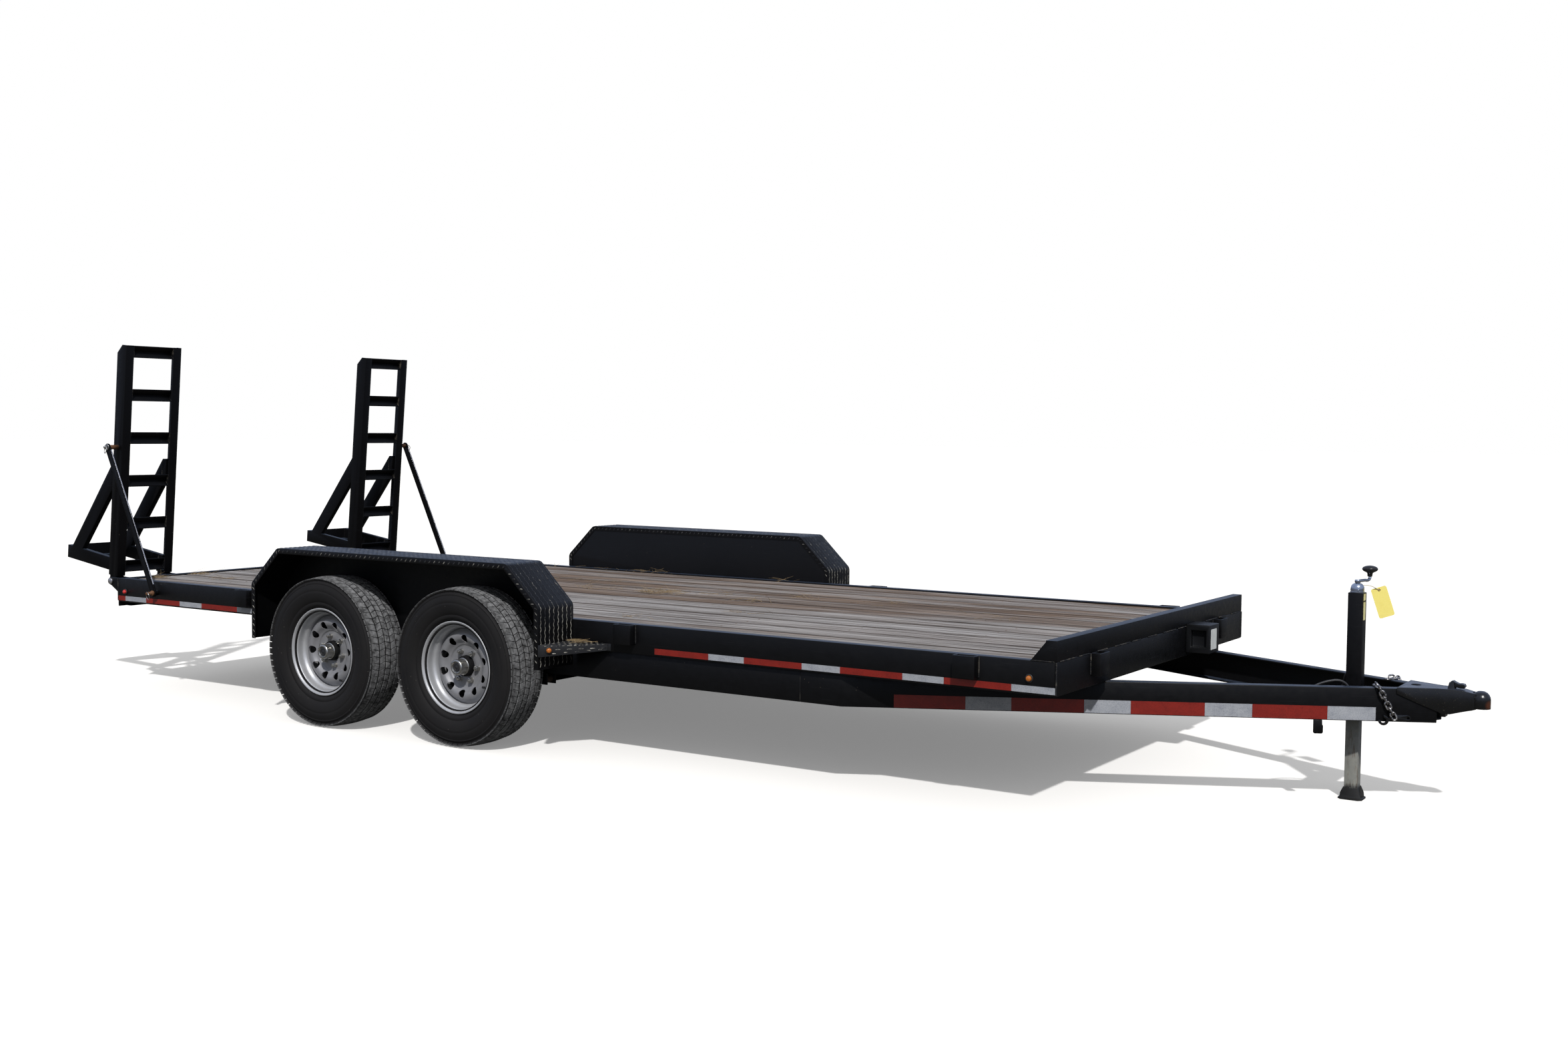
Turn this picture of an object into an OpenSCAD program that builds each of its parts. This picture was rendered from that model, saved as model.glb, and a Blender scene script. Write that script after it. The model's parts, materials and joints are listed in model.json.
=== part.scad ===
// Tandem-axle equipment trailer with wood deck, tread-plate fenders and two stand-up ramps.
// Millimetres. +X is forward (towards the coupler), -Y the curb side, +Z up, ground at z = 0.

/* [View] */
// sub-part shown

/* [Deck] */
// length of the deck over the two headers
deck_length = 5486; // [3600:1:7300]
// width over the outer faces of the side rails
deck_width = 2136; // [1800:1:2300]
// height of the side rail top above the ground
deck_height = 590; // [540:1:700]
// height of the side rail channel
rail_height = 127; // [102:1:152]
// flange width of the side rail channel
rail_flange = 45; // [35:1:60]
// web and flange thickness of the rolled channels
steel = 7; // [5:0.5:9]
// thickness of the deck planks
plank_thickness = 38; // [28:1:50]
// number of deck planks
plank_count = 11; // [8:1:14]
// gap between neighbouring planks
plank_gap = 5; // [2:0.5:12]
// number of crossmembers between the headers
crossmember_count = 11; // [6:1:16]
// height of the crossmember channel
crossmember_height = 75; // [60:1:90]
// flange width of the crossmember channel
crossmember_flange = 36; // [25:1:50]

/* [Main frame and tongue] */
// distance of the rear end of the main beams behind the front of the deck
beam_back = 4010; // [3900:1:4100]
// width over the outer faces of the main beams
beam_width = 2100; // [1700:1:2200]
// height of the main beam and tongue channel
beam_height = 127; // [102:1:160]
// flange width of the main beam channel
beam_flange = 48; // [35:1:60]
// distance of the beam to tongue splice behind the front of the deck
splice_back = 1111; // [950:1:1600]
// distance of the tongue bend behind the front of the deck
bend_back = 919; // [600:1:940]
// angle of each tongue rail to the centre line
tongue_angle = 26.4; // [24.5:0.1:28]
// distance of the tip of each tongue rail from the centre line
tongue_tip = 45; // [44:1:60]

/* [Front stop] */
// height of the stop plate above the deck rail
stop_height = 78; // [40:1:160]
// width of the rearward flange on top of the stop
stop_flange = 44; // [20:1:80]
// foot length of the end gusset
stop_gusset = 104; // [60:1:160]
// thickness of the stop plate
stop_plate = 6; // [4:0.5:10]

/* [Stake pockets] */
// width of a stake pocket
pocket_width = 92; // [70:1:120]
// outward depth of a stake pocket
pocket_depth = 40; // [30:1:60]
// height of a stake pocket
pocket_height = 86; // [60:1:110]
// wall of a stake pocket
pocket_wall = 6; // [4:0.5:8]
// distance of a header pocket from the centre line
header_pocket_y = 704; // [500:1:800]

/* [Wheels and axles] */
// distance of the suspension centre behind the front of the deck
axle_back = 3215; // [2600:1:3600]
// distance between the two axles
axle_spacing = 864; // [800:1:920]
// radius of the tyre
tyre_radius = 357; // [330:1:375]
// section width of the tyre
tyre_width = 216; // [190:1:222]
// distance of the tyre centre plane from the trailer centre line
wheel_plane = 1187; // [1180:1:1195]
// radius of the rim flange
rim_radius = 208; // [195:1:220]
// width of the rim over its flanges
rim_width = 176; // [160:1:184]
// number of vent holes in a wheel disc
vent_count = 10; // [6:1:14]
// diameter of a vent hole
vent_diameter = 30; // [16:1:36]
// pitch circle radius of the vent holes
vent_radius = 125; // [115:1:132]
// number of wheel studs
stud_count = 6; // [5:1:8]
// pitch circle diameter of the wheel studs
stud_circle = 139.7; // [130:0.1:145]
// diameter of the axle tube
axle_tube = 76; // [60:1:90]
// drop of the axle tube below the wheel centre
axle_drop = 102; // [90:1:115]
// distance between the eyes of a leaf spring
spring_length = 642; // [600:1:680]

/* [Fenders] */
// width over the outer edges of the fenders
fender_span = 2592; // [2580:1:2620]
// height of the fender top above the ground
fender_height = 837; // [800:1:870]
// distance of the fender centre behind the front of the deck
fender_back = 3197; // [3185:1:3230]
// half length of the fender over its vertical legs
fender_half = 919; // [900:1:935]
// half length of the flat fender top
fender_top_half = 733; // [700:1:780]
// outer radius of the fender bends
fender_bend = 34; // [12:1:60]
// height of the fender leg knee above the ground
fender_knee = 660; // [620:1:700]
// height of the lower end of the fender legs above the ground
fender_foot = 390; // [340:1:440]
// thickness of the fender sheet
sheet = 3; // [2:0.5:5]
// height of the down-turned outer lip
fender_lip = 26; // [15:1:40]
// height of the step plate above the ground
step_height = 498; // [470:1:530]
// forward reach of the step plate
step_reach = 198; // [150:1:260]
// depth of the step skirt beside the fender
step_skirt = 50; // [30:1:60]
// depth of the step skirt beside the side rail
step_skirt_end = 30; // [15:1:50]

/* [Ramps] */
// distance of the inner face of a ramp from the centre line
ramp_inner = 678; // [500:1:720]
// width of a ramp over its side members
ramp_width = 350; // [300:1:360]
// length of a ramp side member above its hinge
ramp_length = 1290; // [1000:1:1400]
// forward lean of the raised ramp
ramp_lean = 5; // [0:0.5:6]
// depth of the ramp side members
ramp_depth = 76; // [60:1:90]
// width of the front leg of an angle-iron side member
ramp_member = 50; // [40:1:60]
// number of rungs of a ramp
rung_count = 6; // [4:1:8]
// height of an angle-iron rung over its two toes
rung_width = 66; // [40:1:80]
// distance of the hinge axis behind the deck
hinge_back = 104; // [95:1:130]
// height of the hinge axis above the ground
hinge_height = 566; // [560:1:575]
// hinge pin diameter
hinge_pin = 25; // [18:1:30]
// radial clearance of the hinge bores
hinge_fit = 0.08; // [0.05:0.01:0.1]
// rearward reach of the ramp foot stand
stand_reach = 385; // [320:1:400]
// height above the hinge where the stand brace meets the side member
stand_rise = 665; // [500:1:700]
// distance of the strut stud above the hinge along the ramp
stud_along = 735; // [700:1:770]
// width of the strut flat bar
strut_width = 40; // [25:1:50]
// thickness of the strut flat bar
strut_thickness = 8; // [5:1:10]
// distance of the strut inner face from the centre line
strut_plane = 1086; // [1084:1:1095]

/* [Jack and coupler] */
// distance of the ball centre in front of the tongue rail tips
coupler_reach = 147; // [140:1:160]
// height of the ball centre above the ground
ball_height = 432; // [428:1:436]
// diameter of the wiring leads
cable_diameter = 9; // [5:0.5:12]
// radius of the ball socket
socket_radius = 25.6; // [25.2:0.1:26]
// distance of the jack behind the ball
jack_setback = 463; // [440:1:520]
// side of the square outer jack tube
jack_tube_side = 57; // [54:1:65]
// side of the square inner jack leg
jack_leg_side = 50; // [44:1:51]
// height of the jack tube top above the ground
jack_top = 810; // [760:1:860]
// width of the card tag
tag_width = 60; // [40:1:80]
// length of the card tag
tag_length = 120; // [80:1:140]
// width of the jack foot
foot_width = 92; // [80:1:120]
// distance of the latch pin behind the ball
latch_setback = 103; // [98:1:108]
// height of the latch pin above the ground
latch_height = 484; // [482:1:488]
// distance of the safety chains behind the ball
chain_setback = 341; // [330:1:350]
// slant of the hanging chain towards the front
chain_slant = 27; // [0:1:35]
// number of hanging links of a chain
chain_links = 6; // [3:1:7]
// outer length of a chain link
link_length = 38; // [32:1:42]
// outer width of a chain link
link_width = 24; // [22:0.5:26]
// wire of a chain link
link_wire = 6.5; // [5:0.5:7]

/* [Lamps] */
// diameter of a clearance lamp
lamp_diameter = 22; // [15:1:40]
// projection of a clearance lamp
lamp_depth = 15; // [10:1:25]
// distance of the front side lamp behind the front of the deck
side_lamp_back = 107; // [80:1:200]
// height of the front side lamp above the ground
side_lamp_height = 523; // [500:1:560]
// distance of the rear side lamp in front of the rear of the deck
tail_lamp_ahead = 64; // [50:1:120]
// height of the rear side lamp above the ground
tail_lamp_height = 519; // [500:1:560]

/* [Hidden] */
$fn = 48;
half = deck_width / 2;
beam_y = beam_width / 2;
rail_bottom = deck_height - rail_height;
beam_bottom = rail_bottom - beam_height;
plank_top = deck_height - steel;
plank_bottom = plank_top - plank_thickness;
fender_out = fender_span / 2;
wheel_z = tyre_radius;
hinge_x = -deck_length - hinge_back;
stand_tip_u = 74;
pocket_backs = [358, 1977, 4435];
lead_route = [[-150, -264, -60], [-146, -242, -58], [-140, -222, -50], [-130, -206, -36],
    [-118, -194, -18], [-100, -184, -4], [-78, -174, 7], [-52, -162, 15], [-26, -150, 18],
    [-6, -138, 10], [6, -128, -6], [12, -120, -28], [14, -114, -54], [15, -110, -80], [15, -108, -106]];
brake_route = [[-104, 240, -60], [-101, 226, -58], [-97, 212, -54], [-93, 198, -44], [-88, 182, -28],
    [-81, 166, -10], [-71, 148, 2], [-61, 128, 8], [-53, 108, 7], [-47, 88, -4], [-43, 70, -20],
    [-41, 56, -40], [-40, 46, -62], [-40, 40, -84], [-40, 38, -106]];
strut_low = [336 - deck_length, 530];
rear_end = hinge_x - (stand_reach + ramp_depth / 2) * cos(ramp_lean) + stand_tip_u * sin(ramp_lean);
tongue_run = (beam_y - tongue_tip) / sin(tongue_angle);
ball_ahead = tongue_run * cos(tongue_angle) - bend_back + coupler_reach;
ball_housing = socket_radius + 8.4;
front_end = ball_ahead + ball_housing;
middle = (front_end + rear_end) / 2;
jack_ahead = ball_ahead - jack_setback;
latch_ahead = ball_ahead - latch_setback;
chain_ahead = ball_ahead - chain_setback;
black = [0.12, 0.12, 0.13];
silver = [0.75, 0.76, 0.78];

// everything is drawn with x = 0 at the front of the deck and then moved to the middle
module placed() {
    translate([-middle, 0, 0]) children();
}

module side(s) {
    if (s > 0) children();
    else mirror([0, 1, 0]) children();
}

// channel along X from x = 0; web outer face in the plane y = 0, flanges towards -y, base at z = 0
module channel(len, h, b) {
    translate([0, -steel, 0]) cube([len, steel, h]);
    translate([0, -b, 0]) cube([len, b - steel, steel]);
    translate([0, -b, h - steel]) cube([len, b - steel, steel]);
}

// solid of revolution about the Y axis; profile is (radius, y)
module about_y(points, fn = 72) {
    rotate([-90, 0, 0]) rotate_extrude($fn = fn) polygon(points);
}

module rod_y(d, len, fn = 32) {
    rotate([-90, 0, 0]) cylinder(d = d, h = len, $fn = fn);
}

// round bar between two points
module bar(p, q, d, fn = 16) {
    v = q - p;
    l = norm(v);
    translate(p) rotate([0, acos(v[2] / l), atan2(v[1], v[0])]) cylinder(d = d, h = l, $fn = fn);
}

// round bar through a list of points with ball corners
module bent_bar(points, d, fn = 16) {
    for (i = [0:len(points) - 2]) bar(points[i], points[i + 1], d, fn);
    for (i = [1:len(points) - 2]) translate(points[i]) sphere(d = d + 0.8, $fn = fn);
}

module side_rail(s) {
    color(black) placed() side(s)
        translate([-deck_length + steel, half, rail_bottom])
            channel(deck_length - 2 * steel, rail_height, rail_flange);
}

// header channel of height h across the deck, web at the front, flanges rearward
module header_channel(h) {
    translate([-steel, -half, deck_height - h]) cube([steel, deck_width, h]);
    for (z = [deck_height - h, deck_height - steel])
        translate([-rail_flange, -half + rail_flange, z])
            cube([rail_flange - steel, deck_width - 2 * rail_flange, steel]);
}

module front_header() {
    color(black) placed() header_channel(rail_height);
}

module rear_header() {
    color(black) placed() translate([-deck_length, 0, 0]) mirror([1, 0, 0]) header_channel(rail_height + 25);
}

module front_stop() {
    color(black) placed() {
        translate([-stop_plate, -half, deck_height]) cube([stop_plate, deck_width, stop_height]);
        translate([-stop_flange, -half, deck_height + stop_height - stop_plate])
            cube([stop_flange - stop_plate, deck_width, stop_plate]);
        for (s = [-1, 1]) side(s) translate([0, half, deck_height])
            rotate([90, 0, 0]) linear_extrude(stop_plate)
                polygon([[-stop_gusset, 0], [-stop_plate, 0], [-stop_plate, stop_height - stop_plate],
                    [-stop_flange, stop_height - stop_plate]]);
    }
}

module main_beam(s) {
    color(black) placed() side(s)
        translate([-beam_back, beam_y, beam_bottom])
            channel(beam_back - splice_back, beam_height, beam_flange);
}

// plan outline of a strip that follows the tongue bend, from inset a to inset b
function tongue_strip(a, b) = let (
    t = tongue_angle,
    d = [cos(t), -sin(t)],
    n = [-sin(t), -cos(t)],
    k = [-bend_back, beam_y],
    e = k + tongue_run * d)
    [[-splice_back, beam_y - a], k + a * [-tan(t / 2), -1], e + a * n,
        e + b * n, k + b * [-tan(t / 2), -1], [-splice_back, beam_y - b]];

module tongue_rail(s) {
    color(black) placed() side(s) {
        translate([0, 0, beam_bottom]) linear_extrude(beam_height) polygon(tongue_strip(0, steel));
        for (z = [beam_bottom, rail_bottom - steel])
            translate([0, 0, z]) linear_extrude(steel) polygon(tongue_strip(steel, beam_flange));
    }
}

// half width between the inner web faces of the tongue rails at a distance ahead of the deck
function tongue_inner(x) = beam_y - steel / cos(tongue_angle) - (x + bend_back) * tan(tongue_angle);

module tongue_crossbar() {
    w = tongue_inner(jack_ahead + jack_tube_side / 2 + 34) - 2;
    color(black) placed() {
        difference() {
            translate([jack_ahead - 60, -w, beam_bottom + steel + 1])
                cube([60 + jack_tube_side / 2 + 34, 2 * w, 12]);
            translate([jack_ahead - jack_tube_side / 2 - 0.5, -jack_tube_side / 2 - 0.5, beam_bottom])
                cube([jack_tube_side + 1, jack_tube_side + 1, 60]);
        }
    }
}

module crossmembers() {
    pitch = (deck_length - 2 * rail_flange - 60) / (crossmember_count - 1);
    color(black) placed() for (i = [0:crossmember_count - 1])
        translate([-rail_flange - 30 - i * pitch, 0, rail_bottom + steel])
            rotate([0, 0, 90]) translate([-half + steel, 0, 0])
                channel(deck_width - 2 * steel, crossmember_height, crossmember_flange);
}

// open-ended stake pocket; outer face at y = depth, centred on x = 0, top at z = 0
module pocket() {
    difference() {
        translate([-pocket_width / 2, 0, -pocket_height])
            cube([pocket_width, pocket_depth, pocket_height]);
        translate([-pocket_width / 2 + pocket_wall, -1, -pocket_height - 1])
            cube([pocket_width - 2 * pocket_wall, pocket_depth - pocket_wall + 1, pocket_height + 2]);
    }
}

module stake_pockets(s) {
    color(black) placed() side(s) for (x = pocket_backs)
        translate([-x, half, deck_height]) pocket();
}

module header_pockets() {
    color(black) placed() for (s = [-1, 1]) side(s)
        translate([0, header_pocket_y, deck_height]) rotate([0, 0, -90]) pocket();
}

module deck_planks() {
    room = deck_width - 2 * steel - 4;
    w = (room - plank_gap * (plank_count - 1)) / plank_count;
    // the planks butt against the header flanges
    inset = rail_flange + 1;
    color([0.55, 0.5, 0.44]) placed() for (i = [0:plank_count - 1])
        translate([-deck_length + inset, -room / 2 + i * (w + plank_gap), plank_bottom])
            cube([deck_length - 2 * inset, w, plank_thickness]);
}

// corner of a side view rounded by an arc of radius r; p is the corner, a and b the points beside it
function fillet(a, p, b, r, steps = 5) = let (
    u = (a - p) / norm(a - p),
    v = (b - p) / norm(b - p),
    w = acos(u * v),
    c = p + (u + v) / norm(u + v) * r / sin(w / 2),
    q = p + u * r / tan(w / 2) - c,
    turn = sign(q[0] * (p - c)[1] - q[1] * (p - c)[0]) * (180 - w))
    [for (i = [0:steps]) let (e = turn * i / steps)
        c + [q[0] * cos(e) - q[1] * sin(e), q[0] * sin(e) + q[1] * cos(e)]];

// sharp side view of the fender outer surface, moved inwards by t
function fender_corners(t) = let (
    a = atan2(fender_height - fender_knee, fender_half - fender_top_half),
    k = t * tan((90 - a) / 2),
    m = t * tan(a / 2))
    [[-fender_half + t, fender_foot], [-fender_half + t, fender_knee - k],
        [-fender_top_half + m, fender_height - t], [fender_top_half - m, fender_height - t],
        [fender_half - t, fender_knee - k], [fender_half - t, fender_foot]];

// the same line with its four bends rounded
function fender_line(t) = let (p = fender_corners(t), r = max(fender_bend - t, 6))
    concat([p[0]], [for (i = [1:4]) each fillet(p[i - 1], p[i], p[i + 1], r)], [p[5]]);

function flip(p) = [for (i = [len(p) - 1:-1:0]) p[i]];

module fender(s) {
    outer = fender_line(0);
    inner = fender_line(sheet);
    lip = fender_line(fender_lip);
    last = len(inner) - 1;
    w = fender_out - half;
    color(black) placed() side(s) translate([-fender_back, fender_out, 0]) rotate([90, 0, 0]) {
        linear_extrude(w) polygon(concat(outer, flip(inner)));
        linear_extrude(sheet) polygon(concat(inner, flip(lip)));
        translate([0, 0, w - sheet]) linear_extrude(sheet)
            polygon(concat([[inner[0][0], rail_bottom]], [for (i = [1:last - 1]) inner[i]],
                [[inner[last][0], rail_bottom]]));
    }
}

module fender_step(s) {
    x0 = fender_half - fender_back;
    edge = 11;
    // end bracket below the outer tip of the plate, where it meets the side rail
    lug = 18;
    color(black) placed() side(s) {
        translate([0, 0, step_height - sheet]) linear_extrude(sheet)
            polygon([[x0, half], [x0, fender_out], [x0 + edge, fender_out], [x0 + step_reach, half]]);
        difference() {
            translate([0, 0, step_height - step_skirt]) linear_extrude(step_skirt - sheet)
                polygon([[x0, fender_out - sheet], [x0, fender_out], [x0 + edge, fender_out],
                    [x0 + step_reach, half], [x0 + step_reach - sheet * 1.4, half], [x0 + edge - 1, fender_out - sheet]]);
            translate([0, fender_out + 1, 0]) rotate([90, 0, 0]) linear_extrude(fender_out - half + 2)
                polygon([[x0 + edge, step_height - step_skirt], [x0 + step_reach + 1, step_height - step_skirt_end],
                    [x0 + step_reach + 1, step_height - step_skirt - 1], [x0 + edge, step_height - step_skirt - 1]]);
        }
        translate([x0 + step_reach, half, step_height - step_skirt_end]) cube([lug, 6, step_skirt_end]);
    }
}

module axles() {
    arm = beam_y + 4;
    color(black) placed() for (i = [-1, 1]) translate([-axle_back + i * axle_spacing / 2, 0, wheel_z]) {
        translate([0, -arm - 2, -axle_drop]) rod_y(axle_tube, 2 * arm + 4, 40);
        for (s = [-1, 1]) side(s) {
            translate([-25, arm, -axle_drop]) cube([50, 18, axle_drop]);
            translate([0, arm, 0]) rod_y(64, 18);
            translate([0, arm + 18, 0]) rod_y(38, 50);
        }
    }
}

module leaf_springs() {
    z = wheel_z - axle_drop + axle_tube / 2;
    color([0.2, 0.18, 0.17]) placed() for (s = [-1, 1], i = [-1, 1]) side(s)
        translate([-axle_back + i * axle_spacing / 2, beam_y - 46, z + 1]) {
            translate([-spring_length / 2 + 22, 0, 8]) cube([spring_length - 44, 44, 7]);
            translate([-230, 0, 0]) cube([460, 44, 7.5]);
            for (e = [-1, 1]) translate([e * spring_length / 2, 0, 12]) difference() {
                union() {
                    rod_y(32, 44);
                    translate([e > 0 ? -30 : 0, 0, -4]) cube([30, 44, 7]);
                }
                translate([0, -1, 0]) rod_y(15, 46, 24);
            }
        }
}

module spring_hangers() {
    z = wheel_z - axle_drop + axle_tube / 2 + 13;
    ends = axle_spacing / 2 + spring_length / 2;
    mid = axle_spacing / 2 - spring_length / 2;
    color(black) placed() for (s = [-1, 1]) side(s) translate([-axle_back, beam_y - 46, 0]) {
        for (x = [-ends, ends]) {
            for (y = [-9, 47]) translate([x - 25, y, z - 22]) cube([50, 6, beam_bottom - z + 22]);
            translate([x, -8, z]) rod_y(14.6, 60, 24);
        }
        for (y = [-21, 59]) translate([-30, y, z - 10]) cube([60, 6, beam_bottom - z + 10]);
        for (y = [-10, 47]) difference() {
            translate([-mid - 22, y, z - 20]) cube([2 * mid + 44, 7, 34]);
            translate([0, y - 1, z + 4]) rod_y(14, 9, 24);
        }
        translate([0, -21, z + 4]) rod_y(14, 86, 24);
        for (x = [-mid, mid]) translate([x, -10, z]) rod_y(14.6, 64, 24);
    }
}

module tyre(s, i) {
    w = tyre_width / 2;
    r = tyre_radius;
    b = rim_radius;
    h = rim_width / 2 - 9;
    color([0.1, 0.1, 0.1]) placed() side(s)
        translate([-axle_back + i * axle_spacing / 2, wheel_plane, wheel_z])
            about_y([[b - 18, -h], [b, -h], [b + 8, -h - 8], [b + 32, -w + 6], [b + 70, -w], [r - 36, -w + 5],
                [r - 12, -w + 17], [r - 3, -w + 28], [r, -w + 46], [r, w - 46], [r - 3, w - 28], [r - 12, w - 17],
                [r - 36, w - 5], [b + 70, w], [b + 32, w - 6], [b + 8, h + 8], [b, h], [b - 18, h],
                [b - 18, h - 16], [b + 8, h - 10], [b + 34, w - 17], [b + 70, w - 11], [r - 36, w - 15],
                [r - 19, w - 32], [r - 14, w - 50], [r - 14, -w + 50], [r - 19, -w + 32], [r - 36, -w + 15],
                [b + 70, -w + 11], [b + 34, -w + 17], [b + 8, -h + 10], [b - 18, -h + 16]]);
}

// steel disc wheel with its hub, drum and grease cap; outboard is +y
module wheel(s, i) {
    f = rim_width / 2;
    r = rim_radius;
    color(silver) placed() side(s)
        translate([-axle_back + i * axle_spacing / 2, wheel_plane, wheel_z]) {
            difference() {
                union() {
                    about_y([[r, -f], [r, -f + 7], [r - 19, -f + 9], [r - 19, -f + 48], [r - 34, -f + 60],
                        [r - 34, 24], [r - 19, 40], [r - 19, f - 9], [r, f - 7], [r, f], [r - 8, f], [r - 24, f - 10],
                        [r - 24, 38], [r - 39, 22], [r - 39, -f + 58], [r - 24, -f + 46], [r - 24, -f + 8], [r - 8, -f]]);
                    about_y([[47, 6], [96, 6], [112, 20], [132, 34], [150, 30], [r - 39, 8], [r - 39, 14.5],
                        [151, 36], [131, 40.5], [108, 26], [94, 12], [47, 12]]);
                }
                for (k = [0:vent_count - 1]) rotate([0, k * 360 / vent_count, 0])
                    translate([vent_radius, 2, 0]) rod_y(vent_diameter, 60, 24);
            }
            about_y([[26, -80], [155, -80], [155, -76], [155, -8], [70, -8], [60, 5.9], [46, 5.9], [46, 34], [40, 40], [26, 40]], 48);
            about_y([[0, 40], [36, 40], [36, 58], [34, 74], [26, 81], [12, 84], [0, 84]], 40);
            for (k = [0:stud_count - 1]) rotate([0, k * 360 / stud_count, 0])
                translate([stud_circle / 2, 12, 0]) {
                    rod_y(21, 22, 6);
                    rod_y(12, 30, 20);
                }
        }
}

// ramp frame: origin on the hinge axis, +z along the ramp, +x the driving face
module on_ramp(s) {
    placed() side(s) translate([hinge_x, 0, hinge_height]) rotate([0, ramp_lean, 0]) children();
}

// the two angle-iron side members of a ramp, web outward, with the hinge bores and the stud for the strut
module ramp(s) {
    y0 = ramp_inner;
    y1 = ramp_inner + ramp_width;
    front = ramp_depth / 2;
    wall = 6;
    color(black) on_ramp(s) {
        for (y = [y0, y1 - ramp_member]) difference() {
            union() {
                translate([-front, y, 30]) cube([ramp_depth, ramp_member, ramp_length - 30]);
                translate([-front + 12, y, 0]) cube([ramp_depth - 24, ramp_member, 30]);
                translate([0, y, 0]) rod_y(ramp_depth - 24, ramp_member);
            }
            translate([0, y - 1, 0]) rod_y(hinge_pin + 2 * hinge_fit, ramp_member + 2);
            translate([-front - 1, y == y0 ? y + wall : y - 1, 44])
                cube([ramp_depth - wall + 1, ramp_member - wall + 1, ramp_length]);
            translate([0, y + ramp_member + 1, 0]) rotate([90, 0, 0]) linear_extrude(ramp_member + 2)
                polygon([[-front - 1, ramp_length - 46], [-front - 1, ramp_length + 1], [-front + 41, ramp_length + 1]]);
        }
        translate([0, y1, stud_along]) rod_y(24, strut_plane - y1 - 1);
        translate([0, strut_plane - 1, stud_along]) rod_y(15.8, strut_thickness + 12);
    }
}

// angle-iron rungs between the side members, heel at the back, both toes flush with the driving face
module ramp_rungs(s) {
    base = 50;
    gap = 0.2;
    wall = 6;
    leg = rung_width / sqrt(2);
    heel = ramp_depth / 2 - (leg + wall) / sqrt(2);
    wide = ramp_width - 2 * ramp_member - 2 * gap;
    pitch = (ramp_length - base - rung_width) / (rung_count - 1);
    color(black) on_ramp(s) for (k = [0:rung_count - 1])
        translate([heel, ramp_inner + ramp_member + gap + wide, base + k * pitch + rung_width / 2])
            rotate([90, 0, 0]) linear_extrude(wide) rotate(-45) {
                square([leg, wall]);
                square([wall, leg]);
            }
}

// triangular foot in each side member: base bar and brace, with an angle iron across the two tips
module ramp_stand(s) {
    back = -ramp_depth / 2;
    tip = back - stand_reach;
    wall = 6;
    bar = 30;
    y0 = ramp_inner + wall;
    y1 = ramp_inner + ramp_width - wall - bar;
    color(black) on_ramp(s) {
        for (y = [y0, y1]) translate([0, y + bar, 0]) rotate([90, 0, 0]) linear_extrude(bar)
            difference() {
                polygon([[back + 30, 52], [tip, stand_tip_u], [tip, 145], [tip + 41, 145], [back, stand_rise],
                    [back + 30, stand_rise]]);
                polygon([[back + 31, 122], [tip + 130, 138], [back, stand_rise - 153],
                    [back + 31, stand_rise - 110]]);
            }
        translate([tip, y0 + bar / 2, stand_tip_u]) cube([8, y1 - y0, 145 - stand_tip_u]);
        translate([tip, y0 + bar / 2, stand_tip_u]) cube([60, y1 - y0, 8]);
    }
}

module ramp_hinges() {
    color(black) placed() for (s = [-1, 1]) side(s) {
        for (y = [ramp_inner, ramp_inner + ramp_width - ramp_member], o = [-10.5, ramp_member + 0.5])
            translate([0, y + o, 0]) rotate([90, 0, 0]) mirror([0, 0, 1]) linear_extrude(10) difference() {
                union() {
                    polygon([[hinge_x, hinge_height - 22], [-deck_length, deck_height - 105],
                        [-deck_length, deck_height - 6], [hinge_x, hinge_height + 22]]);
                    translate([hinge_x, hinge_height]) circle(r = 22);
                }
            }
        for (y = [ramp_inner, ramp_inner + ramp_width - ramp_member])
            translate([hinge_x, y - 14, hinge_height]) rod_y(hinge_pin, ramp_member + 28);
        translate([strut_low[0], half, strut_low[1]]) rod_y(26, strut_plane - half - 0.5);
    }
}

module strut(s) {
    // bar from the stud on the ramp down and forward to the stud on the side rail
    a = ramp_lean;
    top = [hinge_x + stud_along * sin(a), hinge_height + stud_along * cos(a)];
    v = strut_low - top;
    l = norm(v);
    color(black) placed() side(s) translate([top[0], strut_plane, top[1]])
        rotate([0, -atan2(v[0], -v[1]), 0]) {
            difference() {
                union() {
                    translate([0, 0, -l]) translate([-strut_width / 2, 0, 0]) cube([strut_width, strut_thickness, l]);
                    rod_y(strut_width, strut_thickness);
                    translate([0, 0, -l]) rod_y(strut_width, strut_thickness);
                }
                translate([0, -1, 0]) rod_y(16, strut_thickness + 2);
            }
            translate([0, strut_thickness, -l]) rod_y(22, 9, 6);
        }
}

module jack_tube() {
    h = jack_tube_side / 2;
    g = jack_leg_side / 2 + 0.6;
    color(black) placed() translate([jack_ahead, 0, 0]) difference() {
        translate([-h, -h, beam_bottom - 4]) cube([2 * h, 2 * h, jack_top - beam_bottom + 4]);
        translate([-g, -g, beam_bottom - 5]) cube([2 * g, 2 * g, jack_top - beam_bottom - 1]);
    }
}

module jack_head() {
    color(silver) placed() translate([jack_ahead, 0, jack_top])
        rotate_extrude($fn = 40) polygon([[0, 0], [26, 0], [26, 16], [24, 24], [18, 32], [10, 36], [0, 37]]);
}

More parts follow.
